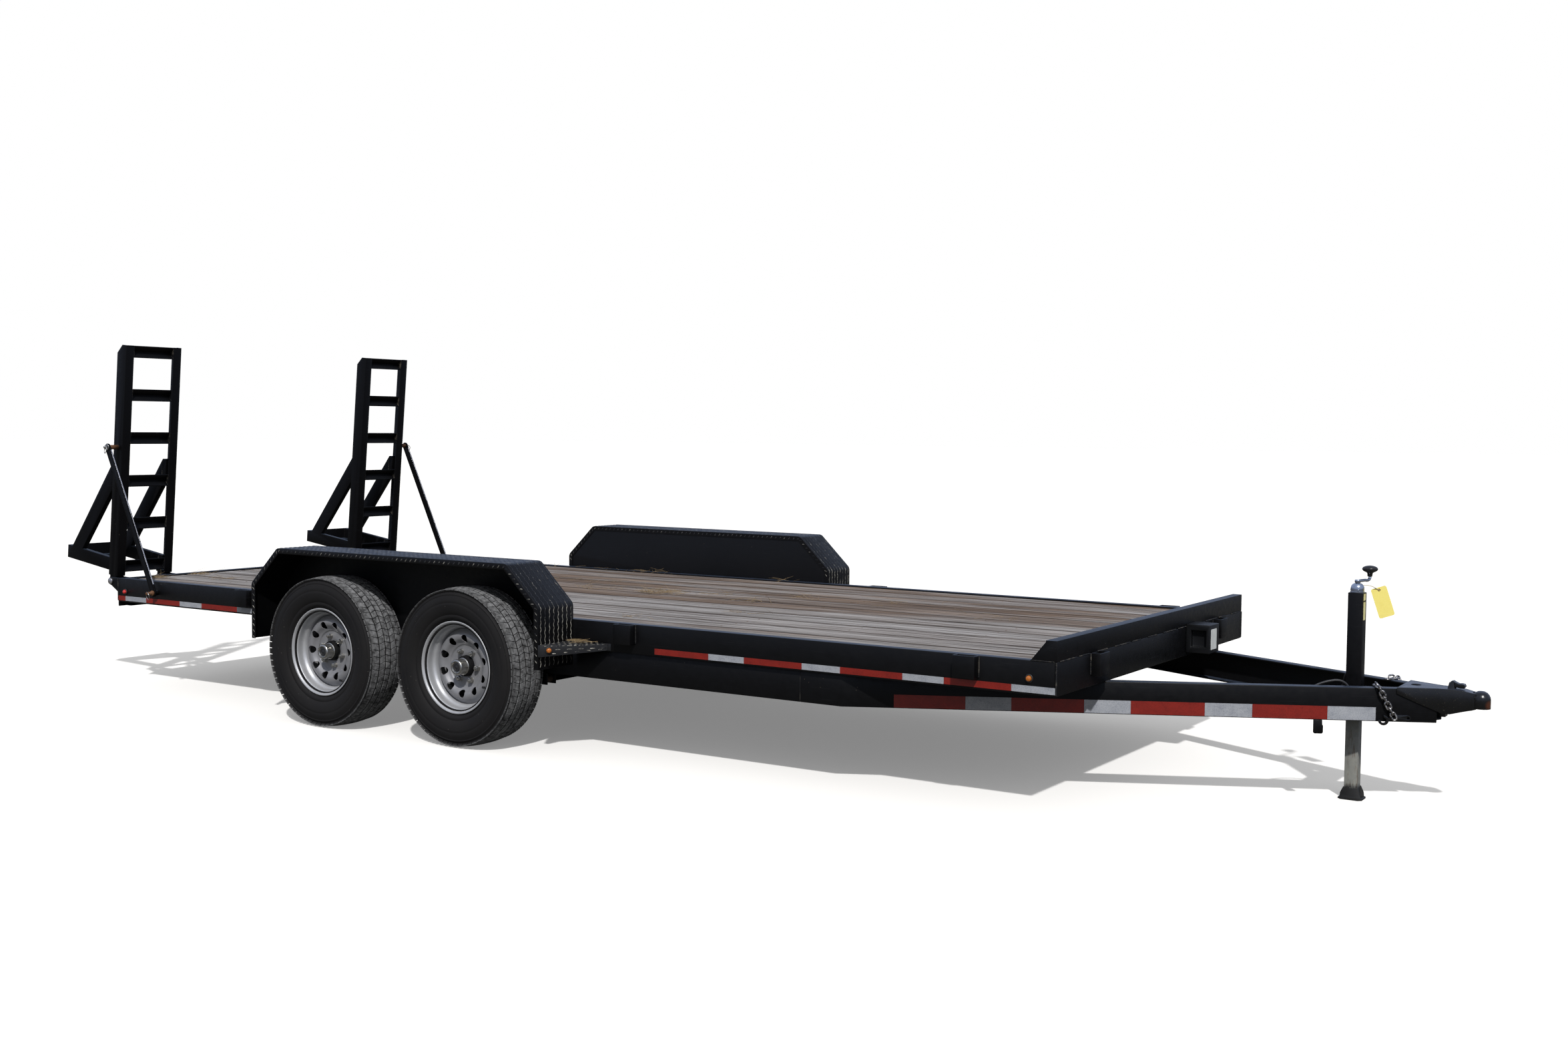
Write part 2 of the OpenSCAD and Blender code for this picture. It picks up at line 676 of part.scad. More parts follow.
// inner jack leg with its foot: a flat pad with a short cup around the leg
module jack_leg() {
    h = jack_leg_side / 2;
    f = foot_width / 2;
    color(silver) placed() translate([jack_ahead, 0, 0]) {
        difference() {
            translate([-h, -h, 6]) cube([2 * h, 2 * h, beam_bottom + 60]);
            translate([-h + 5, -h + 5, 12]) cube([2 * h - 10, 2 * h - 10, beam_bottom + 60]);
        }
        linear_extrude(6) difference() {
            square([2 * f, 2 * f - 6], center = true);
            for (i = [-1, 1], j = [-1, 1]) translate([i * f, j * (f - 3)]) rotate(45) square(18, center = true);
        }
        for (e = [-1, 1]) translate([0, e * (h + 3), 0]) rotate([90, 0, 0]) linear_extrude(5, center = true)
            polygon([[-f + 6, 6], [f - 6, 6], [f - 8, 24], [h + 2, 48], [-h - 2, 48], [-f + 8, 24]]);
    }
}

module jack_crank() {
    tip = [22, 98, 44];
    color([0.15, 0.15, 0.15]) placed() translate([jack_ahead, 0, jack_top]) {
        translate([0, 0, 37.4]) cylinder(d = 22, h = 12, $fn = 24);
        bent_bar([[0, 0, 44], [22, 98, 44], [22, 98, 62]], 12);
        translate([tip[0], tip[1], 56]) rotate_extrude($fn = 32)
            polygon([[0, 0], [9, 0], [11, 14], [24, 20], [30, 30], [24, 40], [10, 44], [0, 44]]);
    }
}

// A-frame coupler: pressed channel body over the rail ends, necked down to the ball housing
module coupler() {
    rear = ball_ahead - 279;
    t = 5;
    fit = 0.4;
    // stations along the body, given ahead of the ball
    tips = [ball_ahead - 145, ball_ahead - 92, ball_ahead - 56, ball_ahead - 26, ball_ahead];
    half_widths = [max(50, tongue_outer(ball_ahead - 145) + t + fit), 47, 35, 28, 27];
    outline = concat([[rear, tongue_outer(rear) + t + fit]], [for (i = [0:4]) [tips[i], half_widths[i]]]);
    inset = [for (p = outline) [p[0], p[1] - t]];
    top = rail_bottom + 0.3;
    cheek = [[rear, top], [rear, 444], [rear + 76, 407], [rear + 149, 373.5], [rear + 176, 373.5],
        [tips[2], 386], [tips[3], 393], [ball_ahead, 402], [ball_ahead, 452], [tips[3], 453], [tips[2], 459],
        [tips[1], top], [rear, top]];
    color([0.14, 0.14, 0.14]) placed() {
        // top plate with its round hole, sloping down to the neck
        difference() {
            intersection() {
                translate([0, 0, 440]) linear_extrude(40)
                    polygon(concat(outline, [for (i = [5:-1:0]) [outline[i][0], -outline[i][1]]]));
                translate([0, 130, 0]) rotate([90, 0, 0]) linear_extrude(260)
                    polygon([[rear, top], [rear, top + t], [tips[1], top + t], [tips[2], 464], [tips[3], 458],
                        [ball_ahead, 456], [ball_ahead, 450], [tips[3], 452], [tips[2], 458], [tips[1], top]]);
            }
            translate([rear + 44, 0, 440]) cylinder(d = 38, h = 40);
            translate([ball_ahead, 0, ball_height]) cylinder(r = ball_housing - 4, h = 60);
        }
        // side cheeks
        for (s = [-1, 1]) side(s) difference() {
            intersection() {
                translate([0, 0, 360]) linear_extrude(120) polygon(concat(outline, flip(inset)));
                translate([0, 130, 0]) rotate([90, 0, 0]) linear_extrude(130) polygon(cheek);
            }
            translate([ball_ahead, 0, 390]) cylinder(r = ball_housing - 4, h = 60);
        }
        // ball housing
        translate([ball_ahead, 0, ball_height]) difference() {
            union() {
                translate([0, 0, -32]) cylinder(r = ball_housing, h = 34);
                translate([0, 0, 2]) rotate_extrude()
                    polygon([[0, 0], [ball_housing, 0], [ball_housing - 1.6, 10], [ball_housing - 6, 19],
                        [ball_housing - 13, 26.5], [ball_housing - 22, 31], [0, 32.5]]);
            }
            sphere(r = socket_radius);
            translate([0, 0, -40]) cylinder(r = socket_radius, h = 40);
        }
        // clamp block under the body ahead of the rail tips
        translate([ball_ahead - 144, -24, 358]) cube([22, 48, top - 358]);
        // latch ears with their pin
        for (y = [-22, 16]) translate([0, y, 0]) rotate([90, 0, 0]) mirror([0, 0, 1]) linear_extrude(6)
            polygon([[latch_ahead - 14, rail_bottom + 4], [latch_ahead + 11, rail_bottom + 4],
                [latch_ahead + 8, latch_height + 8], [latch_ahead - 8, latch_height + 8]]);
        translate([latch_ahead, -22, latch_height]) rod_y(8, 44, 24);
    }
}

// finger latch on top of the coupler: a two-lobed lever on a cross pin
module coupler_latch() {
    color([0.2, 0.2, 0.2]) placed() translate([latch_ahead, 0, latch_height]) difference() {
        union() {
            translate([0, -15, 0]) rod_y(18, 30, 24);
            rotate([90, 0, 0]) translate([0, 0, -15]) linear_extrude(30)
                polygon([[-7, 4], [-4, 11], [4, 13], [12, 8], [24, 3], [34, 4], [44, 2], [48, -6], [44, -13],
                    [30, -13.5], [6, -8]]);
        }
        translate([0, -16, 0]) rod_y(8 + 2 * hinge_fit, 32, 24);
    }
}

// distance from the centre line to the outer face of the tongue rail
function tongue_outer(x) = beam_y - (x + bend_back) * tan(tongue_angle);

module stadium(len, wid) {
    square([len - wid, wid], center = true);
    for (e = [-1, 1]) translate([e * (len - wid) / 2, 0]) circle(d = wid);
}

// chain link with its long axis on Z, turned about Z by a
module link(a) {
    rotate([0, 0, a]) rotate([90, 0, 0]) linear_extrude(link_wire, center = true) rotate([0, 0, 90])
        difference() {
            stadium(link_length, link_width);
            stadium(link_length - 2 * link_wire, link_width - 2 * link_wire);
        }
}

// chain over the tongue rail and down its outer face, with the slip hook at its end
module safety_chains() {
    pitch = link_length - 2 * link_wire - 0.6;
    gap = link_width / 2 + 1;
    color(silver) placed() for (s = [-1, 1]) side(s)
        translate([chain_ahead, tongue_outer(chain_ahead), rail_bottom]) rotate([0, 0, -tongue_angle]) {
            translate([0, gap - link_length / 2 + link_wire / 2, link_wire / 2 + 0.2]) rotate([90, 0, 0]) link(0);
            translate([0, gap, link_wire / 2 + 0.2]) rotate([0, -chain_slant, 0])
                for (k = [0:chain_links - 1])
                    translate([0, 0, -link_length / 2 + link_wire / 2 + link_wire + 0.3 - k * pitch])
                        link(k % 2 == 0 ? 90 : 0);
        }
}

// slip hook at the end of each chain, lying on the outer face of the tongue rail
module chain_hooks() {
    s0 = chain_ahead + 18;
    color([0.2, 0.2, 0.2]) placed() for (s = [-1, 1]) side(s)
        translate([s0, tongue_outer(s0), beam_bottom + 6]) rotate([0, 0, -tongue_angle]) translate([0, 9.3, 0])
            rotate([90, 0, 0]) linear_extrude(9) difference() {
                union() {
                    translate([20, -1]) square([56, 11]);
                    translate([48, -1]) square([42, 22]);
                    translate([88, 10]) circle(d = 22);
                    circle(d = 38);
                    square([30, 10]);
                }
                circle(d = 20);
                translate([-20, 0]) square([20, 22]);
                translate([90, 10]) circle(d = 10);
            }
}

// small plate hanging from the near tongue rail
module tongue_bracket() {
    x0 = ball_ahead - 552;
    wide = 36;
    color(black) placed() translate([x0, -tongue_outer(x0), 0]) rotate([0, 0, tongue_angle])
        translate([0, 8, 0]) rotate([90, 0, 0]) linear_extrude(8)
            polygon([[0, beam_bottom], [wide - 4, beam_bottom], [wide - 3, beam_bottom - 18],
                [wide, beam_bottom - 22], [wide, beam_bottom - 48], [wide - 4, beam_bottom - 53],
                [4, beam_bottom - 53], [0, beam_bottom - 49]]);
}

// battery case on the front header, with a recess in its near side
module battery_box() {
    size = [105, 120, 123];
    color(black) placed() translate([0.2, 305, 478]) difference() {
        cube(size);
        translate([22, -1, 26]) cube([66, 26, 72]);
    }
}

// wiring lead that arches over the edge of the near tongue rail behind the jack
module trailer_cable() {
    color([0.3, 0.3, 0.32]) placed() translate([jack_ahead, 0, rail_bottom])
        bent_bar(lead_route, cable_diameter);
}

// brake lead that crosses from the far tongue rail down beside the jack
module brake_cable() {
    color([0.3, 0.3, 0.32]) placed() translate([jack_ahead, 0, rail_bottom])
        bent_bar(brake_route, cable_diameter);
}

// bullet lamp with its back on y = 0, lens towards +y
module lamp() {
    r = lamp_diameter / 2;
    about_y([[0, 0], [r, 0], [r, lamp_depth * 0.4], [r * 0.9, lamp_depth * 0.7], [r * 0.55, lamp_depth * 0.93],
        [0, lamp_depth]], 32);
}

module amber_lamps() {
    edge = atan2(fender_out - half, step_reach - 11);
    x0 = fender_half - fender_back + 11;
    color([0.95, 0.55, 0.1]) placed() for (s = [-1, 1]) side(s) {
        translate([-side_lamp_back, half, side_lamp_height]) lamp();
        translate([x0 + 24, fender_out - 24 * tan(edge), step_height - 22]) rotate([0, 0, -edge]) lamp();
    }
}

module red_lamps() {
    color([0.8, 0.1, 0.1]) placed() for (s = [-1, 1]) side(s)
        translate([tail_lamp_ahead - deck_length, half, tail_lamp_height]) lamp();
}

// card tag that hangs beside the jack tube
module jack_tag() {
    color([0.98, 0.92, 0.6]) placed() translate([jack_ahead + 34, 36, jack_top - 94]) rotate([0, 12, 40])
        cube([tag_width, 1, tag_length]);
}

side_rail(1);  // side_rail_left
side_rail(-1);  // side_rail_right
front_header();
rear_header();
front_stop();
main_beam(1);  // main_beam_left
main_beam(-1);  // main_beam_right
tongue_rail(1);  // tongue_rail_left
tongue_rail(-1);  // tongue_rail_right
tongue_crossbar();
crossmembers();
stake_pockets(1);  // stake_pockets_left
stake_pockets(-1);  // stake_pockets_right
header_pockets();
deck_planks();
fender(1);  // fender_left
fender(-1);  // fender_right
fender_step(1);  // fender_step_left
fender_step(-1);  // fender_step_right
axles();
leaf_springs();
spring_hangers();
tyre(1, 1);  // tyre_front_left
tyre(-1, 1);  // tyre_front_right
tyre(1, -1);  // tyre_rear_left
tyre(-1, -1);  // tyre_rear_right
wheel(1, 1);  // wheel_front_left
wheel(-1, 1);  // wheel_front_right
wheel(1, -1);  // wheel_rear_left
wheel(-1, -1);  // wheel_rear_right
ramp_hinges();
ramp(1);  // ramp_left
ramp(-1);  // ramp_right
ramp_rungs(1);  // ramp_rungs_left
ramp_rungs(-1);  // ramp_rungs_right
ramp_stand(1);  // ramp_stand_left
ramp_stand(-1);  // ramp_stand_right
strut(1);  // strut_left
strut(-1);  // strut_right
jack_tube();
jack_head();
jack_leg();
jack_crank();
coupler();
coupler_latch();
safety_chains();
chain_hooks();
tongue_bracket();
battery_box();
trailer_cable();
brake_cable();
amber_lamps();
red_lamps();
jack_tag();
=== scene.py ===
import json
import math
import random

import bmesh
import bpy
from mathutils import Matrix, Vector

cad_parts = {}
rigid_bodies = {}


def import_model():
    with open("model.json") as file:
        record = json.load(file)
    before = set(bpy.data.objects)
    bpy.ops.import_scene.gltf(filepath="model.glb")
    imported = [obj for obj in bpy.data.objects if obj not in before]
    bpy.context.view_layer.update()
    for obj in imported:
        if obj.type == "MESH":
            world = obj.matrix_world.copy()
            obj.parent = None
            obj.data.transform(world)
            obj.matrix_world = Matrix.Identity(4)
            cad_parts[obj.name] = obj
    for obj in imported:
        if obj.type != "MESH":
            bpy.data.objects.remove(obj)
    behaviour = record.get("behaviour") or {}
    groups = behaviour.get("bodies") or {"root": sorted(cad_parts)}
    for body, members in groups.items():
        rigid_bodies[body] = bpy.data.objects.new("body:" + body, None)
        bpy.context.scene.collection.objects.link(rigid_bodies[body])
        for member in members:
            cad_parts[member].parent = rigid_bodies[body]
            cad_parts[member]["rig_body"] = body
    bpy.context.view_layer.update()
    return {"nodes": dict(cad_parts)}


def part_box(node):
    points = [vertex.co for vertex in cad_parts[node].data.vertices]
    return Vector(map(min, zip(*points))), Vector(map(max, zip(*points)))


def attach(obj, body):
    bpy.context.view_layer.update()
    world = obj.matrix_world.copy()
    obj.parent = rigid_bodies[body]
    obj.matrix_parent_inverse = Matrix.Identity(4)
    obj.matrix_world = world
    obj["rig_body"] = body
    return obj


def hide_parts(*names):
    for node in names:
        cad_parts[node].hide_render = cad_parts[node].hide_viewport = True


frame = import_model()
scene = bpy.context.scene
deck_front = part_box("front_header")[1].x


def at(x, y, z):
    """A place on the trailer in millimetres: x ahead of the deck front, y to the left, z above the ground."""
    return Vector((deck_front + x / 1000, y / 1000, z / 1000))


# Camera. It stands at the front corner on the curb side, 1.43 m above the ground, a little above the deck,
# and looks back along the trailer. Its place and focal length come from the straight edges of the frame.
yaw, pitch, roll = (math.radians(a) for a in (32.9894, -3.2714, 0.4713))
ahead = Vector((-math.sin(yaw) * math.cos(pitch), math.cos(yaw) * math.cos(pitch), math.sin(pitch)))
right = ahead.cross(Vector((0, 0, 1))).normalized()
up = right.cross(ahead)
right, up = (right * math.cos(roll) + up * math.sin(roll), up * math.cos(roll) - right * math.sin(roll))
camera = bpy.data.objects.new("camera", bpy.data.cameras.new("camera"))
camera.data.sensor_width = 36
camera.data.lens = 37.97
camera.data.clip_end = 300
camera.matrix_world = Matrix((right, up, -ahead)).transposed().to_4x4()
camera.location = at(2408.02, -6598.65, 1426.5)
scene.collection.objects.link(camera)
scene.camera = camera


# Wiring and brake leads. Two round vinyl-sheathed cables come out of the tongue channels through rubber
# grommets, arch over behind the jack and drop to the crossbar plate, where clips hold them.
def tone(code):
    """Linear colour of an sRGB hex code."""
    parts = [int(code[i : i + 2], 16) / 255 for i in (0, 2, 4)]
    return [*(p / 12.92 if p <= 0.04045 else ((p + 0.055) / 1.055) ** 2.4 for p in parts), 1]


def put(tree, kind, links=(), **settings):
    """Adds a node to a material: settings are its own options, links its sockets' values or sources."""
    added = tree.nodes.new(kind)
    for name, value in settings.items():
        setattr(added, name, value)
    for socket, value in dict(links).items():
        if isinstance(value, bpy.types.NodeSocket):
            tree.links.new(value, added.inputs[socket])
        else:
            added.inputs[socket].default_value = value
    return added


def noise(tree, vector, scale, detail, grain=0.5):
    """The grey value of a noise."""
    return put(tree, "ShaderNodeTexNoise", {"Vector": vector, "Scale": scale, "Detail": detail,
                                            "Roughness": grain}).outputs["Fac"]


def mix(tree, factor, a, b):
    """A colour between two, each an sRGB code or a socket."""
    a, b = (tone(c) if isinstance(c, str) else c for c in (a, b))
    return put(tree, "ShaderNodeMix", {"Factor": factor, "A": a, "B": b}, data_type="RGBA").outputs["Result"]


def feed(shader, socket, value):
    """Links a value to one of the shader's sockets."""
    shader.id_data.links.new(value, shader.inputs[socket])


def emboss(shader, height, strength, distance):
    """Gives the shader a bump that follows a height."""
    relief = put(shader.id_data, "ShaderNodeBump", {"Height": height, "Strength": strength, "Distance": distance})
    feed(shader, "Normal", relief.outputs["Normal"])


def new_finish(name, sockets):
    """A material with its shader, and the places of its object's points; sockets are plain shader settings."""
    made = bpy.data.materials.new(name)
    made.use_nodes = True
    tree = made.node_tree
    shader = tree.nodes["Principled BSDF"]
    for socket, value in sockets.items():
        shader.inputs[socket].default_value = value
    return made, tree, shader, put(tree, "ShaderNodeTexCoord").outputs["Object"]


def piece(name, source, finishes, body="trailer"):
    """An object from a bmesh, a mesh or a curve, with its finishes, riding on a body."""
    data = source
    if isinstance(source, bmesh.types.BMesh):
        data = bpy.data.meshes.new(name)
        source.to_mesh(data)
        source.free()
    made = bpy.data.objects.new(name, data)
    scene.collection.objects.link(made)
    for finish in finishes if isinstance(finishes, list) else [finishes]:
        data.materials.append(finish)
    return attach(made, body)


moved = Matrix.Translation


def carry(bm, verts, matrix):
    """Moves some points of a bmesh."""
    bmesh.ops.transform(bm, verts=verts, matrix=matrix)


def turned(bm, profile, steps, axis=(0, 1, 0), centre=(0, 0, 0), closed=False):
    """Spins a profile of (radius, along) points about an axis through the centre, and gives its new points."""
    axis = Vector(axis)
    out = Vector((1, 0, 0)) if abs(axis.x) < 0.9 else Vector((0, 0, 1))
    before = set(bm.verts)
    line = [bm.verts.new(Vector(centre) + out * r + axis * a) for r, a in profile]
    edges = [bm.edges.new(pair) for pair in zip(line, line[1:] + (line[:1] if closed else []))]
    bmesh.ops.spin(bm, geom=line + edges, cent=centre, axis=axis, dvec=(0, 0, 0), angle=math.tau,
                   steps=steps, use_merge=True, use_duplicate=False)
    fresh = [v for v in bm.verts if v not in before]
    bmesh.ops.remove_doubles(bm, verts=fresh, dist=1e-6)
    fresh = [v for v in bm.verts if v not in before]
    faces = {f for v in fresh for f in v.link_faces}
    for f in faces:
        f.smooth = True
    bmesh.ops.recalc_face_normals(bm, faces=list(faces))
    return fresh


# extruded PVC, matt from handling, with faint grime along it
sheath, tree, shader, place = new_finish("extruded_vinyl_cable_sheath", {"Roughness": 0.5})
feed(shader, "Base Color", mix(tree, noise(tree, place, 60, 4), "0e0f11", "3a3a3c"))
emboss(shader, noise(tree, place, 600, 2), 0.2, 0.0005)
jack_low, jack_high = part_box("jack_tube")
jack_x = (jack_low.x + jack_high.x) / 2
lead_thickness = 0.009
lead_routes = {
    "trailer_cable": [[-150, -264, -60], [-146, -242, -58], [-140, -222, -50], [-130, -206, -36],
                      [-118, -194, -18], [-100, -184, -4], [-78, -174, 7], [-52, -162, 15], [-26, -150, 18],
                      [-6, -138, 10], [6, -128, -6], [12, -120, -28], [14, -114, -54], [15, -110, -80],
                      [15, -108, -106]],
    "brake_cable": [[-104, 240, -60], [-101, 226, -58], [-97, 212, -54], [-93, 198, -44], [-88, 182, -28],
                    [-81, 166, -10], [-71, 148, 2], [-61, 128, 8], [-53, 108, 7], [-47, 88, -4], [-43, 70, -20],
                    [-41, 56, -40], [-40, 46, -62], [-40, 40, -84], [-40, 38, -106]],
}
tongue_top = 463
lead_points = {lead: [Vector((jack_x + x / 1000, y / 1000, tongue_top / 1000 + z / 1000)) for x, y, z in route]
               for lead, route in lead_routes.items()}
for lead, points in lead_points.items():
    line = bpy.data.curves.new(lead + "_lead", "CURVE")
    line.dimensions = "3D"
    line.bevel_depth = lead_thickness / 2
    line.bevel_resolution = 5
    line.resolution_u = 6
    spline = line.splines.new("BEZIER")
    spline.bezier_points.add(len(points) - 1)
    for knot, point in zip(spline.bezier_points, points):
        knot.co = point
        knot.handle_left_type = knot.handle_right_type = "AUTO"
    line.use_fill_caps = True
    cable = piece(lead + "_lead", line, sheath)
    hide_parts(lead)
# moulded rubber grommet where each lead leaves the channel, and the same ring where it reaches the plate
bm = bmesh.new()
for points in lead_points.values():
    for end, along in ((points[0], points[1] - points[0]), (points[-1], Vector((0, 0, -1)))):
        ring = turned(bm, [(0.0047, -0.001), (0.0095, -0.001), (0.0105, 0.0015), (0.0085, 0.004), (0.0062, 0.009),
                           (0.0047, 0.009)], 20, axis=(0, 0, 1), closed=True)
        facing = along.normalized() if end is points[0] else Vector((0, 0, 1))
        carry(bm, ring, moved(end) @ Vector((0, 0, 1)).rotation_difference(facing).to_matrix().to_4x4())
piece("lead_grommets", bm, sheath)


# Floor and light of the studio. A plain pale floor under a soft key from high on the right, where the
# photograph's sun stood, with an even sky; the sky that gloss paint mirrors is faintly blue.
def maths(tree, operation, a, b=0.5, clamp=False):
    """The result of a sum on one or two values."""
    return put(tree, "ShaderNodeMath", {0: a, 1: b}, operation=operation, use_clamp=clamp).outputs[0]


def span(tree, value, low, high, to_low=0, to_high=1):
    """Maps a value from one range to another and holds it at the ends."""
    return put(tree, "ShaderNodeMapRange", {"Value": value, "From Min": low, "From Max": high, "To Min": to_low,
                                            "To Max": to_high}).outputs["Result"]


def axis_of(tree, vector, axis):
    """One coordinate of a vector."""
    return put(tree, "ShaderNodeSeparateXYZ", {"Vector": vector}).outputs[axis]


def as_mesh(bm, name, sharp=None):
    """Makes a mesh of a bmesh; edges that turn by more than sharp degrees stay crisp."""
    made = bpy.data.meshes.new(name)
    bm.to_mesh(made)
    bm.free()
    if sharp:
        made.set_sharp_from_angle(angle=math.radians(sharp))
    return made


floor_finish, tree, shader, place = new_finish("pale_studio_floor", {"Roughness": 0.9, "Specular IOR Level": 0})
seen = put(tree, "ShaderNodeLightPath").outputs["Is Camera Ray"]
feed(shader, "Base Color", mix(tree, seen, "6a6a68", "f4f4f4"))
shader.inputs["Emission Color"].default_value = (1, 1, 1, 1)
feed(shader, "Emission Strength", maths(tree, "MULTIPLY", seen, 0.22))
bm = bmesh.new()
bmesh.ops.create_grid(bm, x_segments=1, y_segments=1, size=120)
bmesh.ops.translate(bm, verts=bm.verts, vec=(0, 0, -0.0005))
floor = bpy.data.objects.new("floor", as_mesh(bm, "floor"))
floor.data.materials.append(floor_finish)
scene.collection.objects.link(floor)
sky = bpy.data.worlds.new("sky")
sky.use_nodes = True
scene.world = sky
tree = sky.node_tree
backdrop = tree.nodes["Background"]
rays = put(tree, "ShaderNodeLightPath").outputs
clear = maths(tree, "MAXIMUM", rays["Is Camera Ray"], rays["Is Transmission Ray"])
feed(backdrop, "Color", mix(tree, rays["Is Glossy Ray"], (1, 1, 1, 1), "c4d3f2"))
# gloss sees a darker band at the horizon, so that it doesn't turn milky at a flat angle
skyline = span(tree, axis_of(tree, put(tree, "ShaderNodeTexCoord").outputs["Generated"], "Z"), 0.0, 0.09, 0.1, 0.8)
bright = put(tree, "ShaderNodeMix", {"Factor": rays["Is Glossy Ray"], "A": 0.42, "B": skyline})
bright = put(tree, "ShaderNodeMix", {"Factor": clear, "A": bright.outputs["Result"], "B": 1.0})
feed(backdrop, "Strength", bright.outputs["Result"])
key = bpy.data.objects.new("key", bpy.data.lights.new("key", "SUN"))
key.data.energy = 2.9
key.data.angle = math.radians(1.6)
key.data.color = (1.0, 0.975, 0.94)
key.rotation_euler = Vector((0.40, -0.58, 0.71)).to_track_quat("Z", "Y").to_euler()
scene.collection.objects.link(key)
scene.view_settings.view_transform = "Standard"


# Welded steel frame. Rolled channels, headers, crossmembers, pockets and stop are hot-rolled steel, sprayed
# with black enamel after welding; rolled and sheared edges are slightly round and catch the light.
def stretched_by(tree, vector, scale):
    """The same places, scaled along each axis."""
    return put(tree, "ShaderNodeMapping", {"Vector": vector, "Scale": scale}).outputs["Vector"]


def cell_distance(tree, vector, scale):
    """How far it is to the nearest of many scattered points."""
    return put(tree, "ShaderNodeTexVoronoi", {"Vector": vector, "Scale": scale}).outputs["Distance"]


def facing_up(tree):
    """How far a face looks up, from -1 to 1."""
    return axis_of(tree, tree.nodes["Texture Coordinate"].outputs["Normal"], "Z")


black_enamel, tree, shader, place = new_finish(
    "black_alkyd_enamel_on_hot_rolled_steel", {"Specular IOR Level": 0.2, "IOR": 1.5})
paint = mix(tree, noise(tree, place, 3.1, 6, 0.6), "060607", "0e0e10")
# settled dust on faces that look up, tinted blue as a painted reflection of the sky, so that tops read lighter than
# sides
tops_dust_and_sky_sheen = span(tree, facing_up(tree), 0.74, 1.0, 0.0, 0.5)
dust_grain = noise(tree, place, 38, 5, 0.7)
paint = mix(tree, maths(tree, "MULTIPLY", tops_dust_and_sky_sheen, dust_grain), paint, "5a6880")
# small stone chips, a millimetre or two across, thinned out by a slow noise
chip = maths(tree, "LESS_THAN", cell_distance(tree, place, 42), 0.045)
few = maths(tree, "GREATER_THAN", noise(tree, place, 5.5, 2), 0.6)
paint = mix(tree, maths(tree, "MULTIPLY", chip, few), paint, "6b6459")
# long fine rub marks left by loading, drawn a few millimetres apart so that they show
marks = noise(tree, stretched_by(tree, place, (1.2, 1.2, 90)), 4.0, 3)
feed(shader, "Base Color", mix(tree, span(tree, marks, 0.66, 0.74, 0.0, 0.22), paint, "36383d"))
feed(shader, "Roughness", span(tree, dust_grain, 0.3, 0.7, 0.34, 0.52))
emboss(shader, noise(tree, place, 210, 2), 0.14, 0.0006)


def bevelled(bm, edges, width, segments):
    """Rounds some edges of a bmesh."""
    return bmesh.ops.bevel(bm, geom=edges, offset=width, offset_type="OFFSET", segments=segments, profile=0.5,
                           affect="EDGES", clamp_overlap=True, material=-1)


def softened(name, width, finish, segments=2, shift=None):
    """A copy of a CAD node with its sharp edges rounded by width mm, which stands for the node."""
    bm = bmesh.new()
    bm.from_mesh(frame["nodes"][name].data)
    bmesh.ops.remove_doubles(bm, verts=bm.verts, dist=2e-5)
    bmesh.ops.dissolve_limit(bm, angle_limit=math.radians(0.6), use_dissolve_boundaries=False, verts=bm.verts,
                             edges=bm.edges, delimit=set())
    limit = math.radians(28)
    sharp = [e for e in bm.edges if len(e.link_faces) == 2 and e.calc_face_angle(0) > limit]
    curved = {f for e in bm.edges if len(e.link_faces) == 2 and 0.01 < e.calc_face_angle(0) < limit
              for f in e.link_faces}
    for f in curved:
        f.smooth = True
    if width:
        for f in bevelled(bm, sharp, width / 1000, segments)["faces"]:
            f.smooth = True
    if shift:
        shift(bm)
    made = piece(name + "_shown", bm, finish, frame["nodes"][name]["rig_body"])
    made.data.set_sharp_from_angle(angle=math.radians(40))
    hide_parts(name)


for name, width in (("side_rail_left", 2.5), ("side_rail_right", 2.5), ("front_header", 2.5), ("rear_header", 2.5),
                    ("front_stop", 1.6), ("main_beam_left", 2.5), ("main_beam_right", 2.5),
                    ("tongue_rail_left", 2.5), ("tongue_rail_right", 2.5), ("tongue_crossbar", 1.5),
                    ("crossmembers", 1.5), ("stake_pockets_left", 1.8), ("stake_pockets_right", 1.8),
                    ("header_pockets", 1.8), ("spring_hangers", 1.0), ("ramp_hinges", 1.5),
                    ("tongue_bracket", 1.2), ("jack_tube", 2.2)):
    softened(name, width, black_enamel)


# Weld beads. MIG fillets join pockets, headers, stop and tongue; each is a row of small overlapping ripples,
# painted over with the frame, with some brown rust bleeding out of the toes.
weld_paint, tree, shader, place = new_finish(
    "enamel_over_mig_weld_with_rust_bleed", {"Roughness": 0.5, "Specular IOR Level": 0.3})
rusty = span(tree, noise(tree, place, 21, 5, 0.7), 0.5, 0.66, 0.0, 0.8)
feed(shader, "Base Color", mix(tree, rusty, "0c0c0e", "5b564e"))


def smooth(bm):
    """Shades all faces smooth."""
    for f in bm.faces:
        f.smooth = True


def scaled(x, y, z):
    """A matrix that scales along the axes."""
    return Matrix.Diagonal((x, y, z, 1))


bm = bmesh.new()
bmesh.ops.create_uvsphere(bm, u_segments=7, v_segments=5, radius=1)
smooth(bm)
ripple = as_mesh(bm, "weld_ripple")


def strew(bm, shape, places):
    """Adds a copy of a small mesh at each of the places, given as matrices."""
    for matrix in places:
        copy = shape.copy()
        copy.transform(matrix)
        bm.from_mesh(copy)
        bpy.data.meshes.remove(copy)


